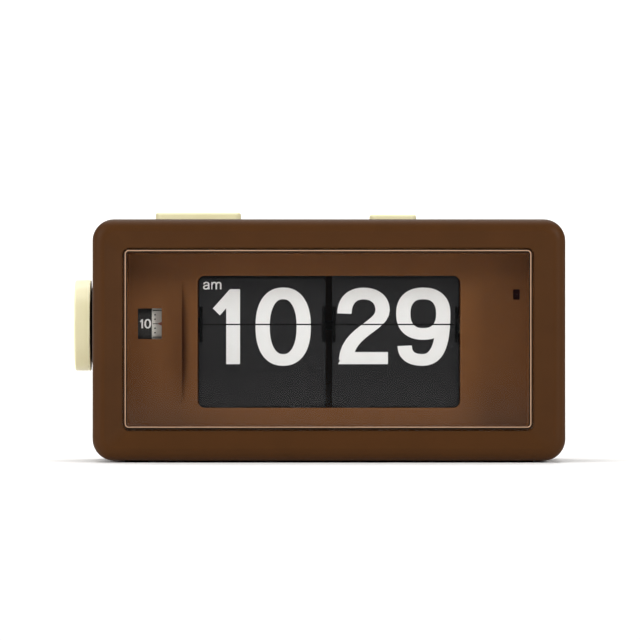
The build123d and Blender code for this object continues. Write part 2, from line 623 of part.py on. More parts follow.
with BuildPart() as leaf_clips:
    for middle_x in (-LEAF_MIDDLE, LEAF_MIDDLE):
        with BuildSketch(face_at(PANEL_BACK)):
            with Locations((middle_x, WINDOW_TOP + 5.0 - CASE_Z)):
                Rectangle(CLIP_W, 4.0)
        extrude(amount=-0.4)
        with BuildSketch(face_at(PANEL_BACK + 0.4)):
            with Locations((middle_x, WINDOW_TOP + 3.2 - CASE_Z)):
                Rectangle(CLIP_W, 7.6)
        extrude(amount=-0.3)
save(leaf_clips, "leaf_clips")

# ================================ Drums, on the main shaft ================================
LIGHTEN_R, LIGHTEN_AT = 4.2, 13.4


def disc(x, count):
    """A drum's end disc, with a hole for every leaf's pin and six larger ones that save weight."""
    with BuildPart() as piece:
        with BuildSketch(side_at(x)):
            Circle(DISC_R)
            with Locations(*[polar(HINGE_R, 180 - hinge_angle(index, count)) for index in range(count)]):
                Circle(PIN_HOLE_R, mode=Mode.SUBTRACT)
            with PolarLocations(LIGHTEN_AT, 6):
                Circle(LIGHTEN_R, mode=Mode.SUBTRACT)
            Circle(HUB_R, mode=Mode.SUBTRACT)
        extrude(amount=DISC_T)
    return piece.part


def ring(x, length, outer, inner):
    """A round collar about the drum axis, from x towards the right."""
    with Locations(side_at(x).location):
        Cylinder(outer, length, align=ON_PLANE)
        Cylinder(inner, length, align=ON_PLANE, mode=Mode.SUBTRACT)


DISC_NEAR = LEAF_MIDDLE - DISC_FACE             # the disc faces nearest and farthest from the middle
DISC_FAR = LEAF_MIDDLE + DISC_FACE
SLEEVE_R = 3.4

hour_pair = [disc(x, HOUR_LEAVES) for x in (-DISC_FAR, -DISC_NEAR - DISC_T)]
minute_pair = [disc(x, MINUTE_LEAVES) for x in (DISC_NEAR, DISC_FAR - DISC_T)]

with BuildPart() as hour_discs:
    add(hour_pair)
save(hour_discs, "hour_discs")

with BuildPart() as hour_core:
    ring(-DISC_FAR, DISC_FAR - DISC_NEAR, HUB_R, SHAFT_R + RUN)
    ring(HOUR_WHEEL_X, -DISC_FAR - HOUR_WHEEL_X, SLEEVE_R, SHAFT_R + RUN)
save(hour_core, "hour_core")

with BuildPart() as hour_wheel:
    with BuildSketch(side_at(HOUR_WHEEL_X)):
        gear_face(AXIS, HOUR_TEETH, FINE, 0)
        with PolarLocations(11, 5):
            Circle(4.4, mode=Mode.SUBTRACT)
        Circle(SLEEVE_R, mode=Mode.SUBTRACT)
    extrude(amount=WHEEL_T)
save(hour_wheel, "hour_wheel")

with BuildPart() as minute_discs:
    add(minute_pair)
save(minute_discs, "minute_discs")

with BuildPart() as minute_core:
    ring(DISC_NEAR, DISC_FAR - DISC_NEAR, HUB_R, SHAFT_R)
save(minute_core, "minute_core")

with BuildPart() as minute_wheel:
    with BuildSketch(side_at(RIGHT_TRAIN_X)):
        gear_face(AXIS, MINUTE_TEETH, FINE, 0)
        with PolarLocations(11, 5):
            Circle(4.4, mode=Mode.SUBTRACT)
        Circle(SHAFT_R, mode=Mode.SUBTRACT)
    extrude(amount=WHEEL_T)
    ring(DISC_FAR, RIGHT_TRAIN_X - DISC_FAR, SLEEVE_R, SHAFT_R)
save(minute_wheel, "minute_wheel")

SHAFT_LEFT, SHAFT_RIGHT = -68.5, RIGHT_PLATE_X + PLATE_T + 0.8
with BuildPart() as main_shaft:
    with BuildSketch(side_at(SHAFT_LEFT)):
        Circle(SHAFT_R)
    extrude(amount=SHAFT_RIGHT - SHAFT_LEFT)
save(main_shaft, "main_shaft")

with BuildPart() as carry_pinion:
    with BuildSketch(side_at(CARRY_X)):
        gear_face(AXIS, CARRY_IN, MEDIUM, 0)
        Circle(SHAFT_R, mode=Mode.SUBTRACT)
    extrude(amount=WHEEL_T)
save(carry_pinion, "carry_pinion")

# ---- Carry arbor: turns the hour drum once for twenty-four turns of the minute drum ----
with BuildPart() as carry_arbor:
    with BuildSketch(side_at(CARRY_X)):
        gear_face(CARRY, CARRY_WHEEL, MEDIUM, CARRY_WHEEL_PHASE)
    extrude(amount=WHEEL_T)
    with BuildSketch(side_at(HOUR_WHEEL_X)):
        gear_face(CARRY, CARRY_OUT, FINE, CARRY_OUT_PHASE)
    extrude(amount=WHEEL_T)
    with BuildSketch(side_at(GEAR_PLATE_X)):
        with Locations(CARRY):
            Circle(1.2)
    extrude(amount=LEFT_PLATE_X + PLATE_T - GEAR_PLATE_X)
save(carry_arbor, "carry_arbor")

# ---- Relay arbor: carries the hour drum's turn past the alarm drum to the trip wheel ----
RELAY_SHAFT_R = 1.3
with BuildPart() as relay_arbor:
    with BuildSketch(side_at(HOUR_WHEEL_X)):
        gear_face(RELAY, RELAY_IN, FINE, RELAY_IN_PHASE)
    extrude(amount=WHEEL_T)
    with BuildSketch(side_at(TRIP_X)):
        gear_face(RELAY, RELAY_OUT, COARSE, 0)
    extrude(amount=WHEEL_T)
    with BuildSketch(side_at(ALARM_PLATE_X)):
        with Locations(RELAY):
            Circle(RELAY_SHAFT_R)
    extrude(amount=LEFT_PLATE_X + PLATE_T - ALARM_PLATE_X)
save(relay_arbor, "relay_arbor")

CAM_R, CAM_T = 8.0, 1.4
with BuildPart() as trip_wheel:
    with BuildSketch(side_at(TRIP_X)):
        gear_face(AXIS, TRIP_TEETH, COARSE, TRIP_PHASE)
        Circle(SHAFT_R + RUN, mode=Mode.SUBTRACT)
    extrude(amount=WHEEL_T)
    with BuildSketch(side_at(TRIP_X + WHEEL_T)):
        Circle(CAM_R)
        with Locations(polar(CAM_R, 90)):
            Circle(1.6, mode=Mode.SUBTRACT)
        Circle(SHAFT_R + RUN, mode=Mode.SUBTRACT)
    extrude(amount=CAM_T)
save(trip_wheel, "trip_wheel")

# ================================ Alarm drum, its shaft and the knob ================================
KNOB_R, KNOB_T, KNOB_FACE = 19.6, 6.9, CASE_W / 2 + KNOB_PROUD
with BuildPart() as alarm_drum:
    ring(ALARM_DRUM_X, ALARM_DRUM_W, ALARM_DRUM_R, ALARM_DRUM_R - 1.2)
    ring(ALARM_DRUM_X + 0.6, 1.2, ALARM_DRUM_R - 1.2, SHAFT_R)
    ring(ALARM_DRUM_X + 0.6, ALARM_DRUM_W - 1.2, 4.0, SHAFT_R)
save(alarm_drum, "alarm_drum")

with BuildPart() as alarm_shaft:
    with BuildSketch(side_at(GEAR_PLATE_X + 1.1)):
        Circle(SHAFT_R)
    extrude(amount=-(KNOB_FACE - 2.5 + GEAR_PLATE_X + 1.1))
save(alarm_shaft, "alarm_shaft")

with BuildPart() as alarm_knob:
    with BuildSketch(side_at(-KNOB_FACE)):
        Circle(KNOB_R)
    extrude(amount=KNOB_T)
    fillet(alarm_knob.faces().sort_by(Axis.X)[0].edges(), 0.8)
    fillet(alarm_knob.faces().sort_by(Axis.X)[-1].edges(), 0.3)
    # The face is dished round a plain middle, and two finger rests are sunk deeper in it.
    with BuildSketch(side_at(-KNOB_FACE)):
        Circle(KNOB_R - 2.6)
        Circle(5.0, mode=Mode.SUBTRACT)
    extrude(amount=1.2, mode=Mode.SUBTRACT)
    with BuildSketch(side_at(-KNOB_FACE)):
        with Locations((0, 11.2), (0, -11.2)):
            Circle(4.6)
    extrude(amount=2.6, mode=Mode.SUBTRACT)
    with BuildSketch(side_at(-KNOB_FACE + 2.5)):
        Circle(SHAFT_R)
    extrude(amount=KNOB_T, mode=Mode.SUBTRACT)
save(alarm_knob, "alarm_knob")

with BuildPart() as knob_bush:
    ring(-CASE_W / 2 - BUSH_PROUD, BUSH_PROUD, BUSH_FLANGE_R, SHAFT_R + RUN)
    ring(-CASE_W / 2, WALL + 3.4, BUSH_R - 0.05, SHAFT_R + RUN)
    fillet(knob_bush.faces().sort_by(Axis.X)[0].edges().sort_by(SortBy.LENGTH)[-1], 0.8)
save(knob_bush, "knob_bush")

with BuildPart() as bush_nut:
    with BuildSketch(side_at(-CASE_W / 2 + WALL)):
        RegularPolygon(8.6, 6)
        Circle(BUSH_R, mode=Mode.SUBTRACT)
    extrude(amount=2.4)
save(bush_nut, "bush_nut")

# ================================ Time setting, motor and running indicator ================================
ARBOR_R = 1.2
RIGHT_PLATE_BACK = RIGHT_PLATE_X + PLATE_T


def arbor(centre, x, length):
    """A thin round arbor along the drum axis's direction, from x towards the right."""
    with Locations(side_at(x).location * Location((centre[0], centre[1], 0))):
        Cylinder(ARBOR_R, length, align=ON_PLANE)


with BuildPart() as motor_pinion:
    with BuildSketch(side_at(RIGHT_TRAIN_X)):
        gear_face(MOTOR, MOTOR_TEETH, FINE, MOTOR_PHASE)
    extrude(amount=RUN_GEAR_X + WHEEL_T - RIGHT_TRAIN_X)
    arbor(MOTOR, RIGHT_TRAIN_X, RIGHT_PLATE_BACK + 4.0 - RIGHT_TRAIN_X)
save(motor_pinion, "motor_pinion")

RUN_DRUM_R, RUN_DRUM_W = AXIS_DEPTH + RUN_AXIS[0] - PANEL_BACK - 0.5, 4.0
with BuildPart() as run_indicator:
    with BuildSketch(side_at(RUN_GEAR_X)):
        gear_face(RUN_AXIS, RUN_TEETH, FINE, RUN_PHASE)
    extrude(amount=WHEEL_T)
    arbor(RUN_AXIS, RUN_GEAR_X, RUN_WINDOW[0] + RUN_DRUM_W / 2 + 1.5 - RUN_GEAR_X)
    with BuildSketch(side_at(RUN_WINDOW[0] - RUN_DRUM_W / 2)):
        with Locations(RUN_AXIS):
            Circle(RUN_DRUM_R)
    extrude(amount=RUN_DRUM_W)
save(run_indicator, "run_indicator")

with BuildPart() as set_idler:
    with BuildSketch(side_at(RIGHT_TRAIN_X)):
        gear_face(IDLER, IDLER_TEETH, FINE, IDLER_PHASE)
    extrude(amount=WHEEL_T)
    arbor(IDLER, RIGHT_TRAIN_X, RIGHT_PLATE_BACK - RIGHT_TRAIN_X)
save(set_idler, "set_idler")

with BuildPart() as set_wheel:
    with BuildSketch(side_at(RIGHT_TRAIN_X)):
        gear_face(SET, SET_TEETH, FINE, SET_PHASE)
    extrude(amount=SET_WHEEL_X - RIGHT_TRAIN_X)
    with BuildSketch(side_at(SET_WHEEL_X)):
        with Locations(SET):
            Circle(SET_WHEEL_R)
            with PolarLocations(SET_WHEEL_R + 0.25, 36):
                Circle(0.6, mode=Mode.SUBTRACT)
    extrude(amount=SET_WHEEL_T)
    arbor(SET, RIGHT_TRAIN_X, RIGHT_PLATE_BACK - RIGHT_TRAIN_X)
save(set_wheel, "set_wheel")

MOTOR_BOX = (37.2, 62.0, 66.0, 86.0)            # depth from, depth to, bottom, top
MOTOR_W = 11.0
with BuildPart() as motor_case:
    with BuildSketch(side_at(RIGHT_PLATE_BACK)):
        near, low = from_axis(MOTOR_BOX[0], MOTOR_BOX[2])
        far, high = from_axis(MOTOR_BOX[1], MOTOR_BOX[3])
        with Locations(((near + far) / 2, (low + high) / 2)):
            RectangleRounded(far - near, high - low, 2.0)
    extrude(amount=MOTOR_W)
    with BuildSketch(side_at(RIGHT_PLATE_BACK)):
        with Locations(MOTOR):
            Circle(ARBOR_R + 0.3)
    extrude(amount=5.0, mode=Mode.SUBTRACT)
save(motor_case, "motor_case")

# ================================ Frame ================================
PLATE_FRONT, PLATE_REAR, PLATE_LOW = POST_END, 84.0, 8.6
SPACER_R = 1.6
LONG_SPACERS = [from_axis(36, 14.6), from_axis(80, 14.6), from_axis(80, 86.0)]
SIDE_SPACERS = [from_axis(38, 84.0), from_axis(78, 84.0), from_axis(AXIS_DEPTH, 31.4)]
EAR_T = 1.2


def plate_outline(front, rear, low, high):
    """A frame plate's outline on the side plane."""
    near, bottom = from_axis(front, low)
    far, top = from_axis(rear, high)
    with Locations(((near + far) / 2, (bottom + top) / 2)):
        RectangleRounded(far - near, top - bottom, 4.0)


def holes(centres, radius):
    with Locations(*centres):
        Circle(radius, mode=Mode.SUBTRACT)


def ears(plate_x, post_x):
    """Two ears bent from a plate's front edge, one over each post of the dial panel."""
    near, far = min(plate_x, post_x - 3.0), max(plate_x + PLATE_T, post_x + 3.0)
    posts = [z - CASE_Z for x, z in PANEL_POSTS if x == post_x]
    with BuildPart() as piece:
        with BuildSketch(face_at(POST_END)):
            with Locations(*[((near + far) / 2, z) for z in posts]):
                Rectangle(far - near, 7.0)
            with Locations(*[(post_x, z) for z in posts]):
                Circle(1.2, mode=Mode.SUBTRACT)
        extrude(amount=-EAR_T)
    return piece.part


left_ears = ears(LEFT_PLATE_X, PANEL_POSTS[0][0])
right_ears = ears(RIGHT_PLATE_X, PANEL_POSTS[-1][0])

with BuildPart() as left_plate:
    with BuildSketch(side_at(LEFT_PLATE_X)):
        plate_outline(PLATE_FRONT, PLATE_REAR, PLATE_LOW + 2, BRACKET_Z)
        holes([AXIS], SLEEVE_R + RUN)
        holes([CARRY], 1.2 + RUN)
        holes([RELAY], RELAY_SHAFT_R + RUN)
    extrude(amount=PLATE_T)
    add(left_ears)
save(left_plate, "left_plate")

with BuildPart() as right_plate:
    with BuildSketch(side_at(RIGHT_PLATE_X)):
        plate_outline(PLATE_FRONT, PLATE_REAR, PLATE_LOW + 2, BRACKET_Z)
        holes([AXIS], SHAFT_R + RUN)
        holes([MOTOR, RUN_AXIS, IDLER, SET], ARBOR_R + RUN)
    extrude(amount=PLATE_T)
    add(right_ears)
save(right_plate, "right_plate")

with BuildPart() as gear_plate:
    with BuildSketch(side_at(GEAR_PLATE_X)):
        plate_outline(31.0, 82.0, 28.0, 88.0)
        holes([AXIS], SHAFT_R + RUN)
        holes([CARRY], 1.2 + RUN)
        holes([RELAY], RELAY_SHAFT_R + RUN)
    extrude(amount=GEAR_PLATE_T)
save(gear_plate, "gear_plate")

with BuildPart() as alarm_plate:
    with BuildSketch(side_at(ALARM_PLATE_X)):
        plate_outline(31.0, 82.0, 28.0, 88.0)
        holes([AXIS], SHAFT_R + RUN)
        holes([RELAY], RELAY_SHAFT_R + RUN)
    extrude(amount=PLATE_T)
save(alarm_plate, "alarm_plate")

with BuildPart() as spacers:
    with BuildSketch(side_at(LEFT_PLATE_X + PLATE_T)):
        with Locations(*LONG_SPACERS):
            Circle(SPACER_R)
    extrude(amount=RIGHT_PLATE_X - LEFT_PLATE_X - PLATE_T)
    for left, right in ((ALARM_PLATE_X + PLATE_T, GEAR_PLATE_X), (GEAR_PLATE_X + GEAR_PLATE_T, LEFT_PLATE_X)):
        with BuildSketch(side_at(left)):
            with Locations(*SIDE_SPACERS):
                Circle(SPACER_R)
        extrude(amount=right - left)
save(spacers, "spacers")

with BuildPart() as frame_screws:
    with BuildSketch(face_at(POST_END + EAR_T)):
        with Locations(*[(x, z - CASE_Z) for x, z in PANEL_POSTS]):
            Circle(2.0)
    extrude(amount=-1.3)
    with BuildSketch(face_at(POST_END + EAR_T)):
        with Locations(*[(x, z - CASE_Z) for x, z in PANEL_POSTS]):
            Circle(1.0)
    extrude(amount=EAR_T + 2.6)
save(frame_screws, "frame_screws")

# ================================ Buttons on top ================================
BRACKET_T = 1.2
SWITCH_H, STEM_R, COLLAR_Z, COLLAR_R = 1.8, 2.0, 97.0, 5.0
STEM_LOW = BRACKET_Z + BRACKET_T + SWITCH_H + BUTTON_TRAVEL
WALL_UNDER = TOP_Z - WALL

with BuildPart() as button_bracket:
    with BuildSketch(level_at(BRACKET_Z)):
        with Locations(((SNOOZE[0] + LIGHT[0]) / 2, BUTTON_DEPTH + 2.0)):
            Rectangle(LIGHT[0] - SNOOZE[0] + 30.0, 14.0)
    extrude(amount=BRACKET_T)
save(button_bracket, "button_bracket")


def button(middle, width, proud):
    """A hollow cap held under the case's top by a rim, with a stem and a collar that its spring pushes."""
    with BuildPart() as piece:
        with BuildSketch(level_at(WALL_UNDER - 1.5)):
            with Locations((middle, BUTTON_DEPTH)):
                RectangleRounded(width, BUTTON_D, 3.0)
        extrude(amount=WALL + 1.5 + proud)
        fillet(piece.faces().sort_by(Axis.Z)[-1].edges(), 1.1)
        with BuildSketch(level_at(WALL_UNDER - 1.5)):
            with Locations((middle, BUTTON_DEPTH)):
                RectangleRounded(width + 2.4, BUTTON_D + 2.4, 4.2)
        extrude(amount=1.2)
        with BuildSketch(level_at(WALL_UNDER - 1.5)):
            with Locations((middle, BUTTON_DEPTH)):
                RectangleRounded(width - 3.2, BUTTON_D - 3.2, 1.4)
        extrude(amount=WALL + proud, mode=Mode.SUBTRACT)
        with BuildSketch(level_at(STEM_LOW)):
            with Locations((middle, BUTTON_DEPTH)):
                Circle(STEM_R)
        extrude(amount=TOP_Z + proud - 1.0 - STEM_LOW)
        with BuildSketch(level_at(COLLAR_Z)):
            with Locations((middle, BUTTON_DEPTH)):
                Circle(COLLAR_R)
        extrude(amount=1.0)
    return piece.part


snooze_cap, light_cap = button(*SNOOZE), button(*LIGHT)

with BuildPart() as snooze_button:
    add(snooze_cap)
save(snooze_button, "snooze_button")

with BuildPart() as light_button:
    add(light_cap)
save(light_button, "light_button")

with BuildPart() as switches:
    with BuildSketch(level_at(BRACKET_Z + BRACKET_T)):
        with Locations((SNOOZE[0], BUTTON_DEPTH), (LIGHT[0], BUTTON_DEPTH)):
            Rectangle(5.0, 5.0)
    extrude(amount=SWITCH_H - 0.5)
    with BuildSketch(level_at(BRACKET_Z + BRACKET_T + SWITCH_H - 0.5)):
        with Locations((SNOOZE[0], BUTTON_DEPTH), (LIGHT[0], BUTTON_DEPTH)):
            Circle(1.4)
    extrude(amount=0.5)
save(switches, "switches")

SPRING_R, SPRING_WIRE, SPRING_TURNS = 4.3, 0.25, 4


def button_spring(middle):
    """A coil spring between the bracket and a button's collar."""
    with BuildPart() as piece:
        low = BRACKET_Z + BRACKET_T + SPRING_WIRE + 0.05
        rise = COLLAR_Z - SPRING_WIRE - 0.05 - low
        centre = (CASE_X + middle, FRONT_Y + BUTTON_DEPTH, low)
        with BuildLine():
            coil = Helix(rise / SPRING_TURNS, rise, SPRING_R, center=centre)
        with BuildSketch(Plane(coil @ 0, z_dir=coil % 0)):
            Circle(SPRING_WIRE)
        sweep(path=coil)
    return piece.part


snooze_coil, light_coil = button_spring(SNOOZE[0]), button_spring(LIGHT[0])

with BuildPart() as snooze_spring:
    add(snooze_coil)
save(snooze_spring, "snooze_spring")

with BuildPart() as light_spring:
    add(light_coil)
save(light_spring, "light_spring")

# ================================ Batteries, their boxes, contacts and doors ================================
BOX_FRONT, BOX_REAR, BOX_WALL = 34.6, 87.3, 1.2
CLOCK_BOX = (C_CELL_X, C_CELL_Z, 28.2, 27.6)
ALARM_BOX = (AA_X, AA_Z, 33.0, 17.0)
AA_PLACES = [(AA_X - AA_PITCH / 2, AA_Z - CASE_Z), (AA_X + AA_PITCH / 2, AA_Z - CASE_Z)]
C_PLACE = [(C_CELL_X, C_CELL_Z - CASE_Z)]
CONTACT_T = 0.35

with BuildPart() as battery_boxes:
    for x, z, width, height in (CLOCK_BOX, ALARM_BOX):
        with BuildSketch(face_at(BOX_FRONT)):
            with Locations((x, z - CASE_Z)):
                RectangleRounded(width, height, 2.0)
        extrude(amount=BOX_FRONT - BOX_REAR)
    for x, z, width, height in (CLOCK_BOX, ALARM_BOX):
        with BuildSketch(face_at(BOX_FRONT + BOX_WALL)):
            with Locations((x, z - CASE_Z)):
                RectangleRounded(width - 1.2, height - 1.0, 1.4)
        extrude(amount=BOX_FRONT + BOX_WALL - BOX_REAR, mode=Mode.SUBTRACT)
save(battery_boxes, "battery_boxes")


def cells(places, radius, length, nub_r):
    """Round cells side by side, each with its raised end towards the dial."""
    with BuildPart() as piece:
        with BuildSketch(face_at(CELL_FRONT + 1.4)):
            with Locations(*places):
                Circle(radius)
        extrude(amount=1.4 - length)
        with BuildSketch(face_at(CELL_FRONT)):
            with Locations(*places):
                Circle(nub_r)
        extrude(amount=-1.4)
    return piece.part


c_cell, aa_cells = cells(C_PLACE, C_CELL_R, C_CELL_L, 3.2), cells(AA_PLACES, AA_R, AA_L, 2.6)

with BuildPart() as clock_cell:
    add(c_cell)
save(clock_cell, "clock_cell")

with BuildPart() as alarm_cells:
    add(aa_cells)
save(alarm_cells, "alarm_cells")

with BuildPart() as battery_contacts:
    with BuildSketch(face_at(BOX_FRONT + BOX_WALL)):
        with Locations(*C_PLACE, *AA_PLACES):
            Rectangle(9.0, 9.0)
    extrude(amount=-CONTACT_T)
save(battery_contacts, "battery_contacts")


def battery_door(door):
    """A snap-in lid that turns about pins along its bottom edge, with a finger groove near the top."""
    x, z, width, height = door
    low = z - height / 2 + DOOR_T / 2
    with BuildPart() as piece:
        with BuildSketch(face_at(CASE_D)):
            with Locations((x, (low + z + height / 2) / 2 - CASE_Z)):
                Rectangle(width, z + height / 2 - low)
        extrude(amount=DOOR_T)
        upper = [edge for edge in piece.edges().filter_by(Axis.Y) if edge.center().Z > z]
        fillet(upper, DOOR_CORNER_R)
        with Locations(hinge_line(door, 0)):
            Cylinder(DOOR_T / 2, width, align=ON_PLANE)
        with Locations(hinge_line(door, DOOR_PIN_L)):
            Cylinder(DOOR_PIN_R, width + 2 * DOOR_PIN_L, align=ON_PLANE)
        with BuildSketch(face_at(CASE_D)):
            with Locations(*[(x, z + height / 2 - 2.6 - 1.4 * step - CASE_Z) for step in range(3)]):
                SlotOverall(11.0, 0.8)
        extrude(amount=0.6, mode=Mode.SUBTRACT)
    return piece.part


clock_lid, alarm_lid = battery_door(CLOCK_DOOR), battery_door(ALARM_DOOR)

with BuildPart() as clock_door:
    add(clock_lid)
save(clock_door, "clock_door")

with BuildPart() as alarm_door:
    add(alarm_lid)
save(alarm_door, "alarm_door")


def door_contact(places, width):
    """A strip under a lid, with a pressed dimple for every cell."""
    with BuildPart() as piece:
        with BuildSketch(face_at(CASE_D - DOOR_T - CONTACT_T)):
            with Locations((sum(place[0] for place in places) / len(places), places[0][1])):
                Rectangle(width, 7.0)
        extrude(amount=-CONTACT_T)
        with BuildSketch(face_at(CELL_FRONT + C_CELL_L + 0.5)):
            with Locations(*places):
                Circle(2.0)
        extrude(amount=CELL_FRONT + C_CELL_L + 0.5 - CASE_D + DOOR_T + CONTACT_T)
    return piece.part


clock_strip, alarm_strip = door_contact(C_PLACE, 12.0), door_contact(AA_PLACES, AA_PITCH + 7.0)

with BuildPart() as clock_door_contact:
    add(clock_strip)
save(clock_door_contact, "clock_door_contact")

with BuildPart() as alarm_door_contact:
    add(alarm_strip)
save(alarm_door_contact, "alarm_door_contact")

# ================================ Electronics ================================
BOARD_X, BOARD_T = 84.0, 1.2
BOARD = (40.0, 80.0, 36.0, 92.0)                # depth from, depth to, bottom, top
BOARD_PILLARS = [from_axis(44, 80), from_axis(58, 72)]

with BuildPart() as circuit_board:
    with BuildSketch(side_at(BOARD_X)):
        plate_outline(*BOARD)
    extrude(amount=BOARD_T)
    with BuildSketch(side_at(RIGHT_PLATE_BACK + MOTOR_W)):
        with Locations(*BOARD_PILLARS):
            Circle(1.5)
    extrude(amount=BOARD_X - RIGHT_PLATE_BACK - MOTOR_W)
    with BuildSketch(side_at(BOARD_X)):
        with Locations(from_axis(60, 50)):
            Rectangle(8.0, 11.0)
    extrude(amount=-1.6)
    with BuildSketch(side_at(BOARD_X)):
        with Locations(from_axis(71, 62), from_axis(49, 60)):
            Circle(3.0)
    extrude(amount=-6.5)
save(circuit_board, "circuit_board")

with BuildPart() as buzzer:
    with BuildSketch(face_at(83.0)):
        with Locations((GRILLE[0], GRILLE[1] - CASE_Z)):
            Circle(11.0)
    extrude(amount=83.0 - CASE_D + WALL + 0.2)
    with BuildSketch(face_at(CASE_D - WALL - 0.2)):
        with Locations((GRILLE[0], GRILLE[1] - CASE_Z)):
            Circle(8.5)
    extrude(amount=2.0, mode=Mode.SUBTRACT)
save(buzzer, "buzzer")

LEAD_R, LEAD_BEND = 0.45, 2.0
BOARD_MIDDLE = BOARD_X + BOARD_T / 2


def lead(corners):
    """One insulated wire along the given corners: x from the case's middle, depth, height."""
    with BuildPart() as piece:
        with BuildLine():
            points = [(CASE_X + x, FRONT_Y + depth, z) for x, depth, z in corners]
            route = FilletPolyline(*points, radius=LEAD_BEND)
        with BuildSketch(Plane(route @ 0, z_dir=route % 0)):
            Circle(LEAD_R)
        sweep(path=route)
    return piece.part


SWITCH_END = (SNOOZE[0] + LIGHT[0]) / 2 + (LIGHT[0] - SNOOZE[0] + 30.0) / 2
clock_lead = lead([
    (C_CELL_X, BOX_FRONT, 18.0), (C_CELL_X, 31.0, 18.0), (C_CELL_X, 31.0, 32.6),
    (BOARD_MIDDLE, 31.0, 32.6), (BOARD_MIDDLE, 44.0, 32.6), (BOARD_MIDDLE, 44.0, BOARD[2]),
])
alarm_lead = lead([
    (AA_X, BOX_FRONT, 12.4), (AA_X, 30.4, 12.4), (AA_X, 30.4, 25.0), (-94.0, 30.4, 25.0),
    (-94.0, 80.0, 25.0), (-94.0, 80.0, 75.0), (-94.0, 85.0, 75.0), (GRILLE[0] - 11.0, 85.0, 75.0),
])
switch_lead = lead([
    (SWITCH_END, 35.0, BRACKET_Z + 0.6), (BOARD_MIDDLE, 35.0, BRACKET_Z + 0.6),
    (BOARD_MIDDLE, BOARD[0], BRACKET_Z + 0.6),
])
lamp_lead = lead([
    (LAMP_X + 1.8, 28.6, HOOD_Z - LAMP_L / 2), (LAMP_X + 1.8, 28.6, 64.0),
    (-68.6, 28.6, 64.0), (-68.6, 28.6, BRACKET_Z),
])

with BuildPart() as internal_leads:
    add([clock_lead, alarm_lead, switch_lead, lamp_lead])
save(internal_leads, "internal_leads")
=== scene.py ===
"""A battery flip-number alarm clock, dressed over its CAD frame: numbers, dial print and materials."""
import json
from math import atan2, cos, pi, radians, sin

import bmesh
import bpy
from mathutils import Matrix, Vector
from mathutils.geometry import delaunay_2d_cdt


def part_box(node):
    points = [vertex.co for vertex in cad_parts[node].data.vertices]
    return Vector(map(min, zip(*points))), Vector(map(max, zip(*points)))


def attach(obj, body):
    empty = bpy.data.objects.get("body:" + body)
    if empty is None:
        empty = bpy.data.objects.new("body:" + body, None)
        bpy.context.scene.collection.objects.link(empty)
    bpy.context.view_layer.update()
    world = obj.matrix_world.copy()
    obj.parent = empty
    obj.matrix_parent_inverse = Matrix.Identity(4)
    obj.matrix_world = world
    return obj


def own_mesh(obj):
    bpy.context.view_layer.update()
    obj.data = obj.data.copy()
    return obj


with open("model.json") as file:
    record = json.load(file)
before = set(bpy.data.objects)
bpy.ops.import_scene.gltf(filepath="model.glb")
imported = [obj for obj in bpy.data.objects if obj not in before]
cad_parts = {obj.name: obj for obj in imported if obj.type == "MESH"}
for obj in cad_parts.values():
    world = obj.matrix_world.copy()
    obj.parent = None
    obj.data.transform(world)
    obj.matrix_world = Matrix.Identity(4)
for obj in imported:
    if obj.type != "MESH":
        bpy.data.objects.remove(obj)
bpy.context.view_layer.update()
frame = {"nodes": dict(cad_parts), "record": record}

MM = 0.001
NODES = frame["nodes"]

# ---- Places, read from the frame ----------------------------------------------------------------------
case_low, case_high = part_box("front_case")
flap_low, flap_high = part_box("minute_flap")
drum_low, drum_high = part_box("alarm_drum")
CASE_X = (case_low[0] + case_high[0]) / 2
FRONT_Y = case_low[1]
HALF_GAP = 0.225 * MM           # half the gap between the upper and the lower leaf
SPLIT_Z = flap_low[2] - HALF_GAP
LEAF_T = 0.15 * MM
FLAP_Y = (flap_low[1] + flap_high[1]) / 2
DRUM_Y = (drum_low[1] + drum_high[1]) / 2
DRUM_Z = (drum_low[2] + drum_high[2]) / 2
DRUM_R = (drum_high[2] - drum_low[2]) / 2
ALARM_Z = 58.9 * MM            # height read at the alarm window's middle

# ---- Numerals: strokes of a broad nib, drawn in hundredths of a numeral's height ----------------------
NIB_W, NIB_H = 19.0, 15.6
SPREAD = NIB_H / NIB_W
STEPS = 12
INK = 0.03 * MM                # thickness of the print
LETTER = 1.08                  # the small letters' weight, as a share of the numerals'


def bezier(start, *segments):
    """Points along cubic segments, each given as two handles and an end."""
    points = [Vector(start)]
    for a, b, end in segments:
        p0, p1, p2, p3 = points[-1], Vector(a), Vector(b), Vector(end)
        for i in range(1, STEPS + 1):
            t = i / STEPS
            u = 1 - t
            points.append(u**3 * p0 + 3 * u * u * t * p1 + 3 * u * t * t * p2 + t**3 * p3)
    return points


def loop(cx, cy, half_w, half_h, square=2.35):
    """Points round a slightly squared oval."""
    points = []
    for i in range(4 * STEPS):
        a = 2 * pi * i / (4 * STEPS)
        c, s = cos(a), sin(a)
        x = half_w * abs(c) ** (2 / square) * (1 if c > 0 else -1)
        y = half_h * abs(s) ** (2 / square) * (1 if s > 0 else -1)
        points.append(Vector((cx + x, cy + y)))
    return points + points[:1]


def bar(x0, y0, x1, y1):
    """A plain rectangle, as a face."""
    return [[Vector((x0, y0)), Vector((x1, y0)), Vector((x1, y1)), Vector((x0, y1))]]


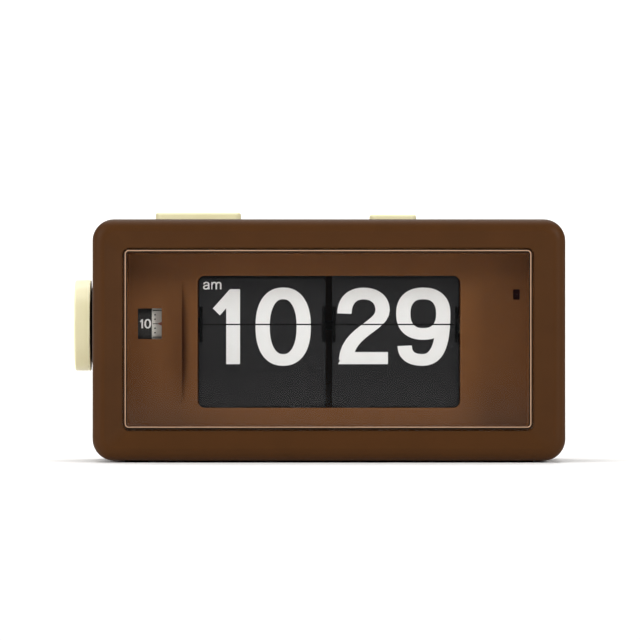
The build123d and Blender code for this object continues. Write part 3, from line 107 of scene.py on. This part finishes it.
def stroke(points, weight=1.0):
    """Faces along a path: the nib is broader than it is high, so upright runs come out heavier."""
    flat = [Vector((p.x * SPREAD, p.y)) for p in points]
    closed = (flat[0] - flat[-1]).length < 1e-6
    left, right = [], []
    for i, p in enumerate(flat):
        before = flat[i - 1] if i else (flat[-2] if closed else flat[0])
        after = flat[i + 1] if i + 1 < len(flat) else (flat[1] if closed else flat[-1])
        along = (after - before).normalized()
        across = Vector((-along.y, along.x)) * NIB_H * weight / 2
        left.append(Vector(((p.x + across.x) / SPREAD, p.y + across.y)))
        right.append(Vector(((p.x - across.x) / SPREAD, p.y - across.y)))
    return [[left[i], right[i], right[i + 1], left[i + 1]] for i in range(len(flat) - 1)]


def turned(faces, cx, cy):
    """Faces turned half round about a point."""
    return [[Vector((2 * cx - p.x, 2 * cy - p.y)) for p in face] for face in faces]


NINE = stroke(loop(36.1, 67.3, 26.6, 27.0)) + stroke(
    bezier((62.7, 68), ((62.7, 28), (56, 5.6), (35, 5.6)), ((20, 5.6), (11.4, 12), (11.4, 24.5)))
)
GLYPHS = {
    "0": (74.4, stroke(loop(37.2, 50.0, 27.4, 44.4, 2.3))),
    "1": (36.2, [[Vector(p) for p in ((17.8, 0), (36.2, 0), (36.2, 100), (22.8, 100), (17.8, 94.3))]]
          + [[Vector(p) for p in ((0, 74.3), (9.4, 65.1), (17.8, 74.5), (17.8, 94.3))]]),
    "2": (69.9, stroke(bezier((9.5, 67.4), ((9.5, 84), (19, 94.2), (34.9, 94.2)),
                              ((50, 94.2), (60.4, 86), (60.4, 72)), ((60.4, 50), (13, 44), (11.5, 5))))
          + [[Vector(p) for p in ((1.0, 0), (67.5, 0), (67.5, 16.1), (9.5, 16.1))]]),
    "3": (72.0, stroke(bezier((10, 72), ((10, 86), (19, 94.2), (34, 94.2)), ((49, 94.2), (58, 86), (58, 75)),
                              ((58, 62), (50, 54), (30, 54))))
          + stroke(bezier((30, 54), ((52, 54), (62, 44), (62, 30)), ((62, 14), (52, 5.6), (35, 5.6)),
                          ((19, 5.6), (9.5, 14), (9.5, 28))))),
    "4": (74.0, bar(42, 0, 60.4, 100) + bar(0, 22, 74, 37)
          + [[Vector(p) for p in ((0, 22), (20, 30), (56, 84), (46, 100))]]),
    "5": (72.0, bar(14, 84.5, 64, 100) + [[Vector(p) for p in ((12, 44), (28, 50), (32, 90), (15, 90))]]
          + stroke(bezier((18, 50), ((24, 58), (30, 59.5), (38, 59.5)), ((53, 59.5), (62, 49), (62, 33)),
                          ((62, 16), (52, 5.6), (35, 5.6)), ((20, 5.6), (10, 13), (9.5, 27))))),
    "6": (72.2, turned(NINE, 36.1, 50.0)),
    "7": (69.0, bar(1, 84.5, 68, 100) + stroke(bezier((57, 92), ((40, 70), (27, 40), (24, 0))))),
    "8": (72.0, stroke(loop(36, 74.3, 23.4, 20.4)) + stroke(loop(36, 28.2, 26.4, 22.4))),
    "9": (72.2, NINE),
    "a": (88.0, stroke(bezier((12, 68), ((13, 84), (24, 93), (42, 93)), ((64, 93), (74, 84), (74, 66)),
                              ((74, 40), (74, 20), (77, 0))), LETTER)
          + stroke(bezier((73, 56), ((50, 52), (9, 54), (9, 27)), ((9, 12), (22, 6), (34, 6)),
                          ((58, 6), (71, 18), (73, 36))), LETTER)),
    "m": (136.0, bar(2, 0, 16, 98)
          + stroke(bezier((9, 58), ((12, 82), (24, 92), (40, 92)), ((60, 92), (68, 80), (68, 62)),
                          ((68, 40), (68, 20), (68, 0))), LETTER)
          + stroke(bezier((68, 58), ((71, 82), (83, 92), (99, 92)), ((119, 92), (127, 80), (127, 62)),
                          ((127, 40), (127, 20), (127, 0))), LETTER)),
}


def glyph_mesh(placed, height, fold=None):
    """A flat mesh in the XZ plane, facing -Y, of glyphs placed as (character, left, baseline), in metres."""
    mesh = bmesh.new()
    for character, left, base in placed:
        corners, faces = [], []
        for face in GLYPHS[character][1]:
            area = sum(p.x * q.y - q.x * p.y for p, q in zip(face, face[1:] + face[:1]))
            ordered = face if area > 0 else face[::-1]
            faces.append(list(range(len(corners), len(corners) + len(face))))
            corners += ordered
        flat, _, triangles, _, _, sources = delaunay_2d_cdt(corners, [], faces, 0, 1e-3)
        unit = height / 100
        verts = [mesh.verts.new((left + p.x * unit, 0, base + p.y * unit)) for p in flat]
        for triangle, source in zip(triangles, sources):
            if source:
                mesh.faces.new([verts[i] for i in triangle])
    if fold:
        keep_above, z = fold
        geometry = mesh.verts[:] + mesh.edges[:] + mesh.faces[:]
        bmesh.ops.bisect_plane(
            mesh, geom=geometry, plane_co=(0, 0, z), plane_no=(0, 0, 1),
            clear_inner=keep_above, clear_outer=not keep_above,
        )
    return mesh


def made_object(mesh, name, material, smooth=False):
    """A scene object from a finished mesh."""
    data = bpy.data.meshes.new(name)
    mesh.to_mesh(data)
    mesh.free()
    for polygon in data.polygons:
        polygon.use_smooth = smooth
    data.materials.append(material)
    piece = bpy.data.objects.new(name, data)
    bpy.context.scene.collection.objects.link(piece)
    return piece


def merge(target, mesh):
    """Adds one mesh to another."""
    data = bpy.data.meshes.new("part")
    mesh.to_mesh(data)
    mesh.free()
    target.from_mesh(data)
    bpy.data.meshes.remove(data)


def join_rings(mesh, rings):
    """A closed surface through rings of as many points each, the last ring joined to the first."""
    for first, second in zip(rings, rings[1:] + rings[:1]):
        for i in range(len(first)):
            j = (i + 1) % len(first)
            mesh.faces.new((first[i], first[j], second[j], second[i]))
    bmesh.ops.recalc_face_normals(mesh, faces=mesh.faces[:])


def solid(mesh, name, material, place, step=None):
    """The flat mesh made into print of real thickness and moved by place, a function of a point.

    With a step, the mesh is first cut across at that spacing, so that it can wrap round a drum.
    """
    bmesh.ops.dissolve_limit(mesh, angle_limit=radians(0.5), verts=mesh.verts[:], edges=mesh.edges[:])
    bmesh.ops.triangulate(mesh, faces=mesh.faces[:])
    if step:
        heights = [vert.co.z for vert in mesh.verts]
        for i in range(int((max(heights) - min(heights)) / step)):
            geometry = mesh.verts[:] + mesh.edges[:] + mesh.faces[:]
            cut = min(heights) + (i + 0.5) * step
            bmesh.ops.bisect_plane(mesh, geom=geometry, plane_co=(0, 0, cut), plane_no=(0, 0, 1))
        bmesh.ops.triangulate(mesh, faces=mesh.faces[:])
    sheet = mesh.faces[:]
    raised = bmesh.ops.extrude_face_region(mesh, geom=sheet, use_keep_orig=True)
    for item in raised["geom"]:
        if isinstance(item, bmesh.types.BMVert):
            item.co.y -= INK
    bmesh.ops.recalc_face_normals(mesh, faces=mesh.faces[:])
    for vert in mesh.verts:
        vert.co = place(vert.co)
    bmesh.ops.recalc_face_normals(mesh, faces=mesh.faces[:])
    return made_object(mesh, name, material)


# ================================ Materials ================================
def srgb(red, green, blue):
    """A colour given as 0-255 screen values, as linear light."""
    shares = [c / 255 for c in (red, green, blue)]
    linear = [c / 12.92 if c <= 0.0404 else ((c + 0.055) / 1.055) ** 2.4 for c in shares]
    return (*linear, 1.0)


def material(name):
    """A new node material with its shader and object coordinates."""
    made = bpy.data.materials.new(name)
    made.use_nodes = True
    tree = made.node_tree
    shader = tree.nodes["Principled BSDF"]
    coordinates = tree.nodes.new("ShaderNodeTexCoord")
    return made, tree, shader, coordinates.outputs["Object"]


def noise(tree, where, size, detail=3.0, roughness=0.55):
    """Noise with features of about the given size in metres."""
    node = tree.nodes.new("ShaderNodeTexNoise")
    node.inputs["Scale"].default_value = 1 / size
    node.inputs["Detail"].default_value = detail
    node.inputs["Roughness"].default_value = roughness
    tree.links.new(where, node.inputs["Vector"])
    return node.outputs["Fac"]


def spread_over(tree, value, low, high, start=0.3, end=0.7):
    """A value between start and end mapped to low-high."""
    node = tree.nodes.new("ShaderNodeMapRange")
    node.inputs["From Min"].default_value = start
    node.inputs["From Max"].default_value = end
    node.inputs["To Min"].default_value = low
    node.inputs["To Max"].default_value = high
    tree.links.new(value, node.inputs["Value"])
    return node.outputs["Result"]


def mixed(tree, factor, first, second):
    """Two colours, or a socket and a colour, mixed by a factor socket."""
    node = tree.nodes.new("ShaderNodeMix")
    node.data_type = "RGBA"
    tree.links.new(factor, node.inputs["Factor"])
    for socket, colour in ((node.inputs["A"], first), (node.inputs["B"], second)):
        if isinstance(colour, tuple):
            socket.default_value = colour
        else:
            tree.links.new(colour, socket)
    return node.outputs["Result"]


def bumped(tree, shader, heights):
    """Stacked bumps: each height is (socket, strength, distance in metres)."""
    normal = None
    for height, strength, distance in heights:
        node = tree.nodes.new("ShaderNodeBump")
        node.inputs["Strength"].default_value = strength
        node.inputs["Distance"].default_value = distance
        tree.links.new(height, node.inputs["Height"])
        if normal:
            tree.links.new(normal, node.inputs["Normal"])
        normal = node.outputs["Normal"]
    tree.links.new(normal, shader.inputs["Normal"])


def worn_edges(tree, colour, bare, amount):
    """Lightens convex edges a little, as handling does."""
    geometry = tree.nodes.new("ShaderNodeNewGeometry")
    edge = spread_over(tree, geometry.outputs["Pointiness"], 0.0, amount, 0.505, 0.56)
    return mixed(tree, edge, colour, bare)


def moulded(name, dark, light, roughness, grain, depth, edge=0.0, blotch=22 * MM, shine=0.4):
    """Moulded plastic: a spark-eroded grain, a faint cloudiness and handled edges."""
    made, tree, shader, where = material(name)
    cloud = noise(tree, where, blotch, 4.0)
    colour = mixed(tree, spread_over(tree, cloud, 0.0, 1.0), dark, light)
    if edge:
        colour = worn_edges(tree, colour, tuple(min(1.0, c * 1.5) for c in light[:3]) + (1.0,), edge)
    tree.links.new(colour, shader.inputs["Base Color"])
    fine = noise(tree, where, grain, 2.0, 0.6)
    tree.links.new(spread_over(tree, fine, roughness - 0.05, roughness + 0.06), shader.inputs["Roughness"])
    bumped(tree, shader, [(fine, depth, 0.05 * MM), (noise(tree, where, 9 * MM), 0.06, 0.1 * MM)])
    shader.inputs["IOR"].default_value = 1.49
    shader.inputs["Specular IOR Level"].default_value = shine
    return made


def metal(name, dark, light, roughness, along=(1, 1, 1)):
    """Metal with drawn or rolled lines, stretched along one axis, and a faint tarnish."""
    made, tree, shader, where = material(name)
    stretch = tree.nodes.new("ShaderNodeMapping")
    stretch.inputs["Scale"].default_value = along
    tree.links.new(where, stretch.inputs["Vector"])
    lines = noise(tree, stretch.outputs["Vector"], 0.35 * MM, 3.0)
    tarnish = noise(tree, where, 12 * MM, 5.0)
    colour = mixed(tree, spread_over(tree, tarnish, 0.0, 1.0), dark, light)
    tree.links.new(colour, shader.inputs["Base Color"])
    tree.links.new(spread_over(tree, lines, roughness - 0.07, roughness + 0.1), shader.inputs["Roughness"])
    shader.inputs["Metallic"].default_value = 1.0
    bumped(tree, shader, [(lines, 0.12, 0.02 * MM)])
    return made


def printed(name, dark, light, roughness, fibre, shine=0.4):
    """Ink or thin sheet with a faint unevenness."""
    made, tree, shader, where = material(name)
    uneven = noise(tree, where, fibre, 4.0)
    tree.links.new(mixed(tree, spread_over(tree, uneven, 0.0, 1.0), dark, light), shader.inputs["Base Color"])
    tree.links.new(spread_over(tree, uneven, roughness - 0.04, roughness + 0.05), shader.inputs["Roughness"])
    bumped(tree, shader, [(noise(tree, where, 0.18 * MM, 2.0), 0.15, 0.01 * MM)])
    shader.inputs["Specular IOR Level"].default_value = shine
    return made


def lens_material():
    """Clear moulded lens: seen straight through, with a faint reflection and a trace of unevenness."""
    made, tree, shader, where = material("clear_lens")
    shader.inputs["Base Color"].default_value = (0.02, 0.02, 0.02, 1.0)
    shader.inputs["IOR"].default_value = 2.0
    shader.inputs["Alpha"].default_value = 0.06
    haze = noise(tree, where, 30 * MM, 4.0)
    tree.links.new(spread_over(tree, haze, 0.02, 0.06), shader.inputs["Roughness"])
    return made


def bulb_material():
    """Small clear bulb with a warm tint."""
    made, tree, shader, where = material("bulb")
    glow = noise(tree, where, 2 * MM, 2.0)
    warm, pale = srgb(250, 226, 170), srgb(252, 240, 210)
    tree.links.new(mixed(tree, spread_over(tree, glow, 0.0, 1.0), warm, pale), shader.inputs["Base Color"])
    shader.inputs["Roughness"].default_value = 0.12
    shader.inputs["Alpha"].default_value = 0.6
    return made


def banded(name, first, second, roughness, size, direction="X"):
    """Plain wrapped or striped surface: two colours in bands along one axis."""
    made, tree, shader, where = material(name)
    wave = tree.nodes.new("ShaderNodeTexWave")
    wave.bands_direction = direction
    wave.wave_profile = "SIN"
    wave.inputs["Scale"].default_value = 1 / size
    wave.inputs["Distortion"].default_value = 0.0
    tree.links.new(where, wave.inputs["Vector"])
    sharp = spread_over(tree, wave.outputs["Fac"], 0.0, 1.0, 0.48, 0.52)
    tree.links.new(mixed(tree, sharp, first, second), shader.inputs["Base Color"])
    uneven = noise(tree, where, 3 * MM)
    tree.links.new(spread_over(tree, uneven, roughness - 0.05, roughness + 0.05), shader.inputs["Roughness"])
    bumped(tree, shader, [(uneven, 0.05, 0.02 * MM)])
    return made


BROWN = moulded("case_brown", srgb(65, 37, 9), srgb(70, 40, 11), 0.5, 0.32 * MM, 0.14, 0.1, shine=0.12)
PANEL = moulded("panel_brown", srgb(114, 73, 39), srgb(120, 78, 43), 0.6, 0.28 * MM, 0.16, shine=0.08)
CREAM = moulded("cream", srgb(243, 235, 188), srgb(247, 240, 197), 0.34, 0.6 * MM, 0.05, 0.1)
# The rim is the case's brown plastic, darkened below the case's colour as painted shade for the creases
# either side of the lens edge.
RIM_CREASE_SHADE = moulded("rim_painted_crease_shade", srgb(34, 20, 9), srgb(38, 23, 11), 0.4, 0.5 * MM, 0.03, shine=0.15)
# The pale bead's colour is a painted highlight: it stands in for the light that the lens edge catches.
HIGHLIGHT_BEAD_PAINT = moulded("bead_painted_highlight", srgb(176, 140, 112), srgb(186, 150, 121), 0.25, 0.5 * MM, 0.02)
LEAF = printed("leaf_black", srgb(30, 30, 31), srgb(33, 33, 34), 0.6, 6 * MM, 0.16)
WHITE_INK = printed("white_ink", srgb(244, 244, 241), srgb(248, 248, 246), 0.5, 4 * MM)
BLACK_INK = printed("black_ink", srgb(30, 29, 28), srgb(36, 35, 34), 0.5, 4 * MM)
DIAL_WHITE = printed("dial_white", srgb(226, 224, 214), srgb(234, 232, 224), 0.5, 5 * MM)
DARK = moulded("dark_plastic", srgb(25, 20, 18), srgb(30, 24, 21), 0.45, 0.35 * MM, 0.12, shine=0.2)
ACETAL = moulded("acetal", srgb(226, 223, 210), srgb(234, 231, 220), 0.38, 0.5 * MM, 0.05)
RUBBER = moulded("rubber", srgb(33, 31, 30), srgb(40, 38, 36), 0.75, 0.25 * MM, 0.3)
POINTER = moulded("pointer_red", srgb(150, 92, 80), srgb(158, 98, 84), 0.4, 0.4 * MM, 0.05)
SHEET = metal("zinc_sheet", (0.42, 0.43, 0.45, 1), (0.55, 0.56, 0.57, 1), 0.38, (1, 14, 1))
STEEL = metal("bright_steel", (0.5, 0.5, 0.51, 1), (0.62, 0.62, 0.63, 1), 0.24, (1, 1, 10))
BLACK_STEEL = moulded("black_steel", srgb(11, 11, 12), srgb(15, 15, 16), 0.5, 0.4 * MM, 0.05, shine=0.1)
DISC = moulded("disc_black", srgb(6, 6, 6), srgb(9, 9, 9), 0.7, 0.4 * MM, 0.05, shine=0.03)
BRASS = metal("plated_brass", (0.62, 0.45, 0.2, 1), (0.75, 0.58, 0.28, 1), 0.27, (1, 6, 1))
LENS = lens_material()
BULB = bulb_material()
CELL = banded("cell_wrap", srgb(38, 42, 48), srgb(166, 165, 160), 0.3, 340 * MM, "Y")
BOARD = moulded("circuit_board", srgb(34, 84, 46), srgb(42, 96, 54), 0.35, 0.9 * MM, 0.1)
INDICATOR = moulded("indicator_red", srgb(56, 7, 3), srgb(44, 5, 2), 0.6, 0.4 * MM, 0.08, shine=0.05)
WIRE = moulded("wire", srgb(150, 40, 34), srgb(160, 48, 40), 0.4, 0.6 * MM, 0.05)

MATERIAL_OF_SLOT = {
    "case_brown": BROWN, "panel_brown": PANEL, "cream": CREAM, "clear": LENS, "rim_pale": RIM_CREASE_SHADE,
    "leaf_black": LEAF, "dark_plastic": DARK, "frame_steel": SHEET, "gear_white": ACETAL, "steel": STEEL,
    "black_steel": BLACK_STEEL, "disc_black": DISC, "brass": BRASS, "rubber": RUBBER,
    "alarm_dial": DIAL_WHITE, "pointer_red": POINTER, "lamp": BULB, "cell": CELL, "board": BOARD,
    "indicator": INDICATOR, "lead": WIRE,
}
for part in frame["record"]["subparts"]:
    data = NODES[part["node"]].data
    data.materials.clear()
    data.materials.append(MATERIAL_OF_SLOT[part["material_slot"]])

# The coils under the buttons shorten as the buttons go down; here each coil only gets a mesh of its own.
for press, coil in (("snooze_press", "snooze_spring"), ("light_press", "light_spring")):
    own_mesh(NODES[coil])

# ================================ Pale bead on the lens rim: a painted highlight ===========
BEAD_R, BEAD_INSET, BEAD_CORNER = 0.25 * MM, 0.8 * MM, 1.5 * MM
BEAD_RISE = 0.25 * MM           # the bead's middle above the rim's middle, raised because the painted highlight sits towards the lit top
BEAD_SUNK = 0.08 * MM           # the bead's own middle behind the rim's front
BEAD_SIDES, CORNER_STEPS = 10, 10
rim_low, rim_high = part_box("lens_rim")


def rim_painted_highlight_bead():
    """A thin round pale bead that follows the lens rim's front, a painted highlight where the lens edge
    catches the light, drawn as rings of points round its path.
    """
    middle_x = (rim_low[0] + rim_high[0]) / 2
    middle_z = (rim_low[2] + rim_high[2]) / 2 + BEAD_RISE
    bead_y = rim_low[1] + BEAD_SUNK
    reach_x = (rim_high[0] - rim_low[0]) / 2 - BEAD_INSET - BEAD_CORNER
    reach_z = (rim_high[2] - rim_low[2]) / 2 - BEAD_INSET - BEAD_CORNER
    mesh = bmesh.new()
    rings = []
    for corner, (side_x, side_z) in enumerate(((1, 1), (-1, 1), (-1, -1), (1, -1))):
        for i in range(CORNER_STEPS + 1):
            angle = pi / 2 * (corner + i / CORNER_STEPS)
            outward = Vector((cos(angle), 0, sin(angle)))
            centre = Vector((middle_x + side_x * reach_x, bead_y, middle_z + side_z * reach_z))
            centre += BEAD_CORNER * outward
            ring = []
            for j in range(BEAD_SIDES):
                around = 2 * pi * j / BEAD_SIDES
                offset = outward * cos(around) + Vector((0, -1, 0)) * sin(around)
                ring.append(mesh.verts.new(centre + BEAD_R * offset))
            rings.append(ring)
    join_rings(mesh, rings)
    piece = made_object(mesh, "rim_painted_highlight_bead", HIGHLIGHT_BEAD_PAINT, smooth=True)
    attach(piece, "case")


rim_painted_highlight_bead()

# ================================ Numbers on the leaves ================================
NUMERAL_H = 32.1 * MM
BASELINE = SPLIT_Z - 17.0 * MM
HOUR_PLACES = (CASE_X - 49.65 * MM, CASE_X - 31.5 * MM)
MINUTE_PLACES = (CASE_X + 3.6 * MM, CASE_X + 28.8 * MM)
SMALL_H = 3.2 * MM
SMALL_PLACES = (CASE_X - 53.8 * MM, CASE_X - 50.35 * MM)
SMALL_BASE = SPLIT_Z + 15.0 * MM
PRINT_MARGIN = 0.07 * MM       # the print stops this far short of the leaf's edge
LEAF_TOP_EDGE = SPLIT_Z + HALF_GAP + PRINT_MARGIN
LEAF_LOW_EDGE = SPLIT_Z - HALF_GAP - PRINT_MARGIN
FLAP_FRONT = FLAP_Y - LEAF_T / 2
# The next leaf stands behind the falling one, and the last fallen leaf hangs behind where it will lie.
HOUR_NEXT, HOUR_LAST = 27.84, 27.74
MINUTE_NEXT, MINUTE_LAST = 27.65, 27.613


def leaf_front(depth):
    """Front face of a leaf whose middle is at a depth in millimetres behind the case's front."""
    return FRONT_Y + depth * MM - LEAF_T / 2


def numerals(text, places):
    """Characters with their left edges, centred on the same places whatever their widths."""
    return [(character, left, BASELINE) for character, left in zip(text, places)]


def print_half(name, text, places, upper, face_y, body, turned_over=False, extra=()):
    """One half of a number, printed on a leaf's face, or on the falling leaf's back if turned_over."""
    edge = LEAF_TOP_EDGE if upper else LEAF_LOW_EDGE
    mesh = glyph_mesh(numerals(text, places), NUMERAL_H, (upper, edge))
    for character, left in extra:
        merge(mesh, glyph_mesh([(character, left, SMALL_BASE)], SMALL_H))

    def place(point):
        if not turned_over:
            return Vector((point.x, face_y + point.y, point.z))
        return Vector((point.x, 2 * FLAP_Y - (face_y + point.y), 2 * SPLIT_Z - point.z))

    piece = solid(mesh, name, WHITE_INK, place)
    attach(piece, body)
    return piece


MORNING = [("a", SMALL_PLACES[0]), ("m", SMALL_PLACES[1])]
print_half("hour_number_upper", "10", HOUR_PLACES, True, FLAP_FRONT, "hour_leaf", extra=MORNING)
print_half("hour_number_lower", "10", HOUR_PLACES, False, leaf_front(HOUR_LAST), "case")
print_half("hour_next_upper", "11", HOUR_PLACES, True, leaf_front(HOUR_NEXT), "case", extra=MORNING)
print_half("hour_next_lower", "11", HOUR_PLACES, False, FLAP_FRONT, "hour_leaf", turned_over=True)
print_half("minute_number_upper", "29", MINUTE_PLACES, True, FLAP_FRONT, "minute_leaf")
print_half("minute_number_lower", "29", MINUTE_PLACES, False, leaf_front(MINUTE_LAST), "case")
print_half("minute_next_upper", "30", MINUTE_PLACES, True, leaf_front(MINUTE_NEXT), "case")
print_half("minute_next_lower", "30", MINUTE_PLACES, False, FLAP_FRONT, "minute_leaf", turned_over=True)

# ================================ Print on the alarm drum ================================
BAND_MIDDLE = CASE_X - 75.75 * MM
BAND_EDGE = 0.35 * MM
ALARM_H = 3.9 * MM
NUMBER_INSET = 2.75 * MM       # numbers' middle from the black band's edge
TICK_H = 0.34 * MM
DOT_R = 0.36 * MM
DOT_INSET = 1.35 * MM           # dots' middle from the black band's edge
LETTER_GAP = 14                 # hundredths of a number's height
BAND_POINTS = 96                # points round the drum
READ_ANGLE = atan2(ALARM_Z - DRUM_Z, DRUM_R)


def on_drum(point):
    """Wraps a flat point round the drum: z is distance along its surface, y is height off it."""
    angle = READ_ANGLE + point.z / DRUM_R
    radius = DRUM_R - point.y
    return Vector((point.x, DRUM_Y - radius * cos(angle), DRUM_Z + radius * sin(angle)))


def strip(x0, x1, z0, z1):
    """A flat strip that faces -Y."""
    mesh = bmesh.new()
    mesh.faces.new([mesh.verts.new((x, 0, z)) for x, z in ((x0, z0), (x1, z0), (x1, z1), (x0, z1))])
    return mesh


def wrap_band(name, x0, x1, ink):
    """A printed band right round the drum."""
    mesh = bmesh.new()
    rings = []
    for x, radius in ((x0, DRUM_R), (x0, DRUM_R + INK), (x1, DRUM_R + INK), (x1, DRUM_R)):
        ring = []
        for i in range(BAND_POINTS):
            a = 2 * pi * i / BAND_POINTS
            ring.append(mesh.verts.new((x, DRUM_Y - radius * cos(a), DRUM_Z + radius * sin(a))))
        rings.append(ring)
    join_rings(mesh, rings)
    piece = made_object(mesh, name, ink)
    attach(piece, "alarm_dial")


wrap_band("alarm_black_band", drum_low[0] + 0.2 * MM, BAND_MIDDLE, BLACK_INK)
wrap_band("alarm_white_band", BAND_MIDDLE, drum_high[0] - 0.2 * MM, DIAL_WHITE)

marks = bmesh.new()
numbers = bmesh.new()
HALF_HOUR = 2 * pi * DRUM_R / 24
for step in range(24):
    middle = (step - 12) * HALF_HOUR
    tick_ends = (BAND_MIDDLE + BAND_EDGE, drum_high[0] - BAND_EDGE)
    merge(marks, strip(*tick_ends, middle - TICK_H / 2, middle + TICK_H / 2))
    for third in (1, 2):
        centre = middle + third * HALF_HOUR / 3
        dot = bmesh.new()
        bmesh.ops.create_circle(
            dot, cap_ends=True, radius=DOT_R, segments=16,
            matrix=Matrix.Translation((BAND_MIDDLE + DOT_INSET, 0, centre)) @ Matrix.Rotation(pi / 2, 4, "X"),
        )
        merge(marks, dot)
for hour in range(12):
    text = str((9 + hour) % 12 + 1)
    unit = ALARM_H / 100
    width = sum(GLYPHS[character][0] for character in text) * unit + (len(text) - 1) * LETTER_GAP * unit
    left = BAND_MIDDLE - NUMBER_INSET - width / 2
    middle = ((hour + 6) % 12 - 6) * 2 * HALF_HOUR
    for character in text:
        merge(numbers, glyph_mesh([(character, left, middle - ALARM_H / 2)], ALARM_H))
        left += (GLYPHS[character][0] + LETTER_GAP) * unit


def lifted(place, height):
    """A placing that raises the print above another layer of print."""
    return lambda point: place(Vector((point.x, point.y - height, point.z)))


for mesh, name, ink in ((marks, "alarm_marks", BLACK_INK), (numbers, "alarm_numbers", WHITE_INK)):
    piece = solid(mesh, name, ink, lifted(on_drum, INK), 0.5 * MM)
    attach(piece, "alarm_dial")

# ================================ Stage: pale sweep, lights and camera ================================
def pale_paper():
    """Matt white paper with a very faint unevenness."""
    made, tree, shader, where = material("pale_paper")
    tone = noise(tree, where, 0.5, 2.0)
    tree.links.new(mixed(tree, tone, srgb(244, 243, 241), srgb(247, 246, 245)), shader.inputs["Base Color"])
    shader.inputs["Roughness"].default_value = 0.85
    return made


def sweep():
    """A pale floor that curves up into a pale wall behind."""
    mesh = bmesh.new()
    bend, back, front, top, half = 1.2, 3.4, -6.0, 4.5, 7.0
    bend_steps = 12
    profile = [(front, 0.0), (back, 0.0)]
    for i in range(1, bend_steps + 1):
        angle = pi / 2 * i / bend_steps
        profile.append((back + bend * sin(angle), bend - bend * cos(angle)))
    profile.append((back + bend, top))
    rows = [[mesh.verts.new((x, y, z)) for x in (-half, half)] for y, z in profile]
    for low, high in zip(rows, rows[1:]):
        mesh.faces.new((low[0], low[1], high[1], high[0]))
    made_object(mesh, "sweep", pale_paper(), smooth=True)


def softbox(name, place, target, size, power, colour=(1.0, 1.0, 1.0)):
    """A square area light aimed at a point."""
    light = bpy.data.lights.new(name, "AREA")
    light.size = size
    light.energy = power
    light.color = colour
    lamp = bpy.data.objects.new(name, light)
    lamp.location = place
    lamp.rotation_euler = (Vector(target) - Vector(place)).to_track_quat("-Z", "Y").to_euler()
    bpy.context.scene.collection.objects.link(lamp)


sweep()
CLOCK = (0, 0, 0.05)
softbox("key", (2.1, -1.9, 1.3), CLOCK, 0.9, 54)
softbox("fill", (-1.0, -2.5, 1.0), CLOCK, 0.9, 6)
softbox("side", (-1.7, -1.0, 0.9), CLOCK, 1.0, 25)
softbox("top", (-0.2, -0.3, 2.1), CLOCK, 0.9, 11)
softbox("wall", (0.0, 2.2, 3.6), (0, 4.2, 0.4), 3.6, 190)
world = bpy.data.worlds.new("pale_room")
world.use_nodes = True
world.node_tree.nodes["Background"].inputs["Color"].default_value = (0.95, 0.96, 1.0, 1.0)
world.node_tree.nodes["Background"].inputs["Strength"].default_value = 0.15
bpy.context.scene.world = world
bpy.context.scene.view_settings.view_transform = "Standard"

VIEW_WIDTH = 271.2 * MM        # what the camera takes in at the case's front
CAMERA_AWAY = 2.8
CAMERA_LEFT = 3.8 * MM         # of the case's middle
CAMERA_HEIGHT = 60.5 * MM
SENSOR = 36.0
camera_data = bpy.data.cameras.new("camera")
camera_data.sensor_width = SENSOR
camera_data.lens = SENSOR * CAMERA_AWAY / VIEW_WIDTH
camera = bpy.data.objects.new("camera", camera_data)
camera.location = (CASE_X - CAMERA_LEFT, FRONT_Y - CAMERA_AWAY, CAMERA_HEIGHT)
camera.rotation_euler = (pi / 2, 0, 0)
bpy.context.scene.collection.objects.link(camera)
bpy.context.scene.camera = camera
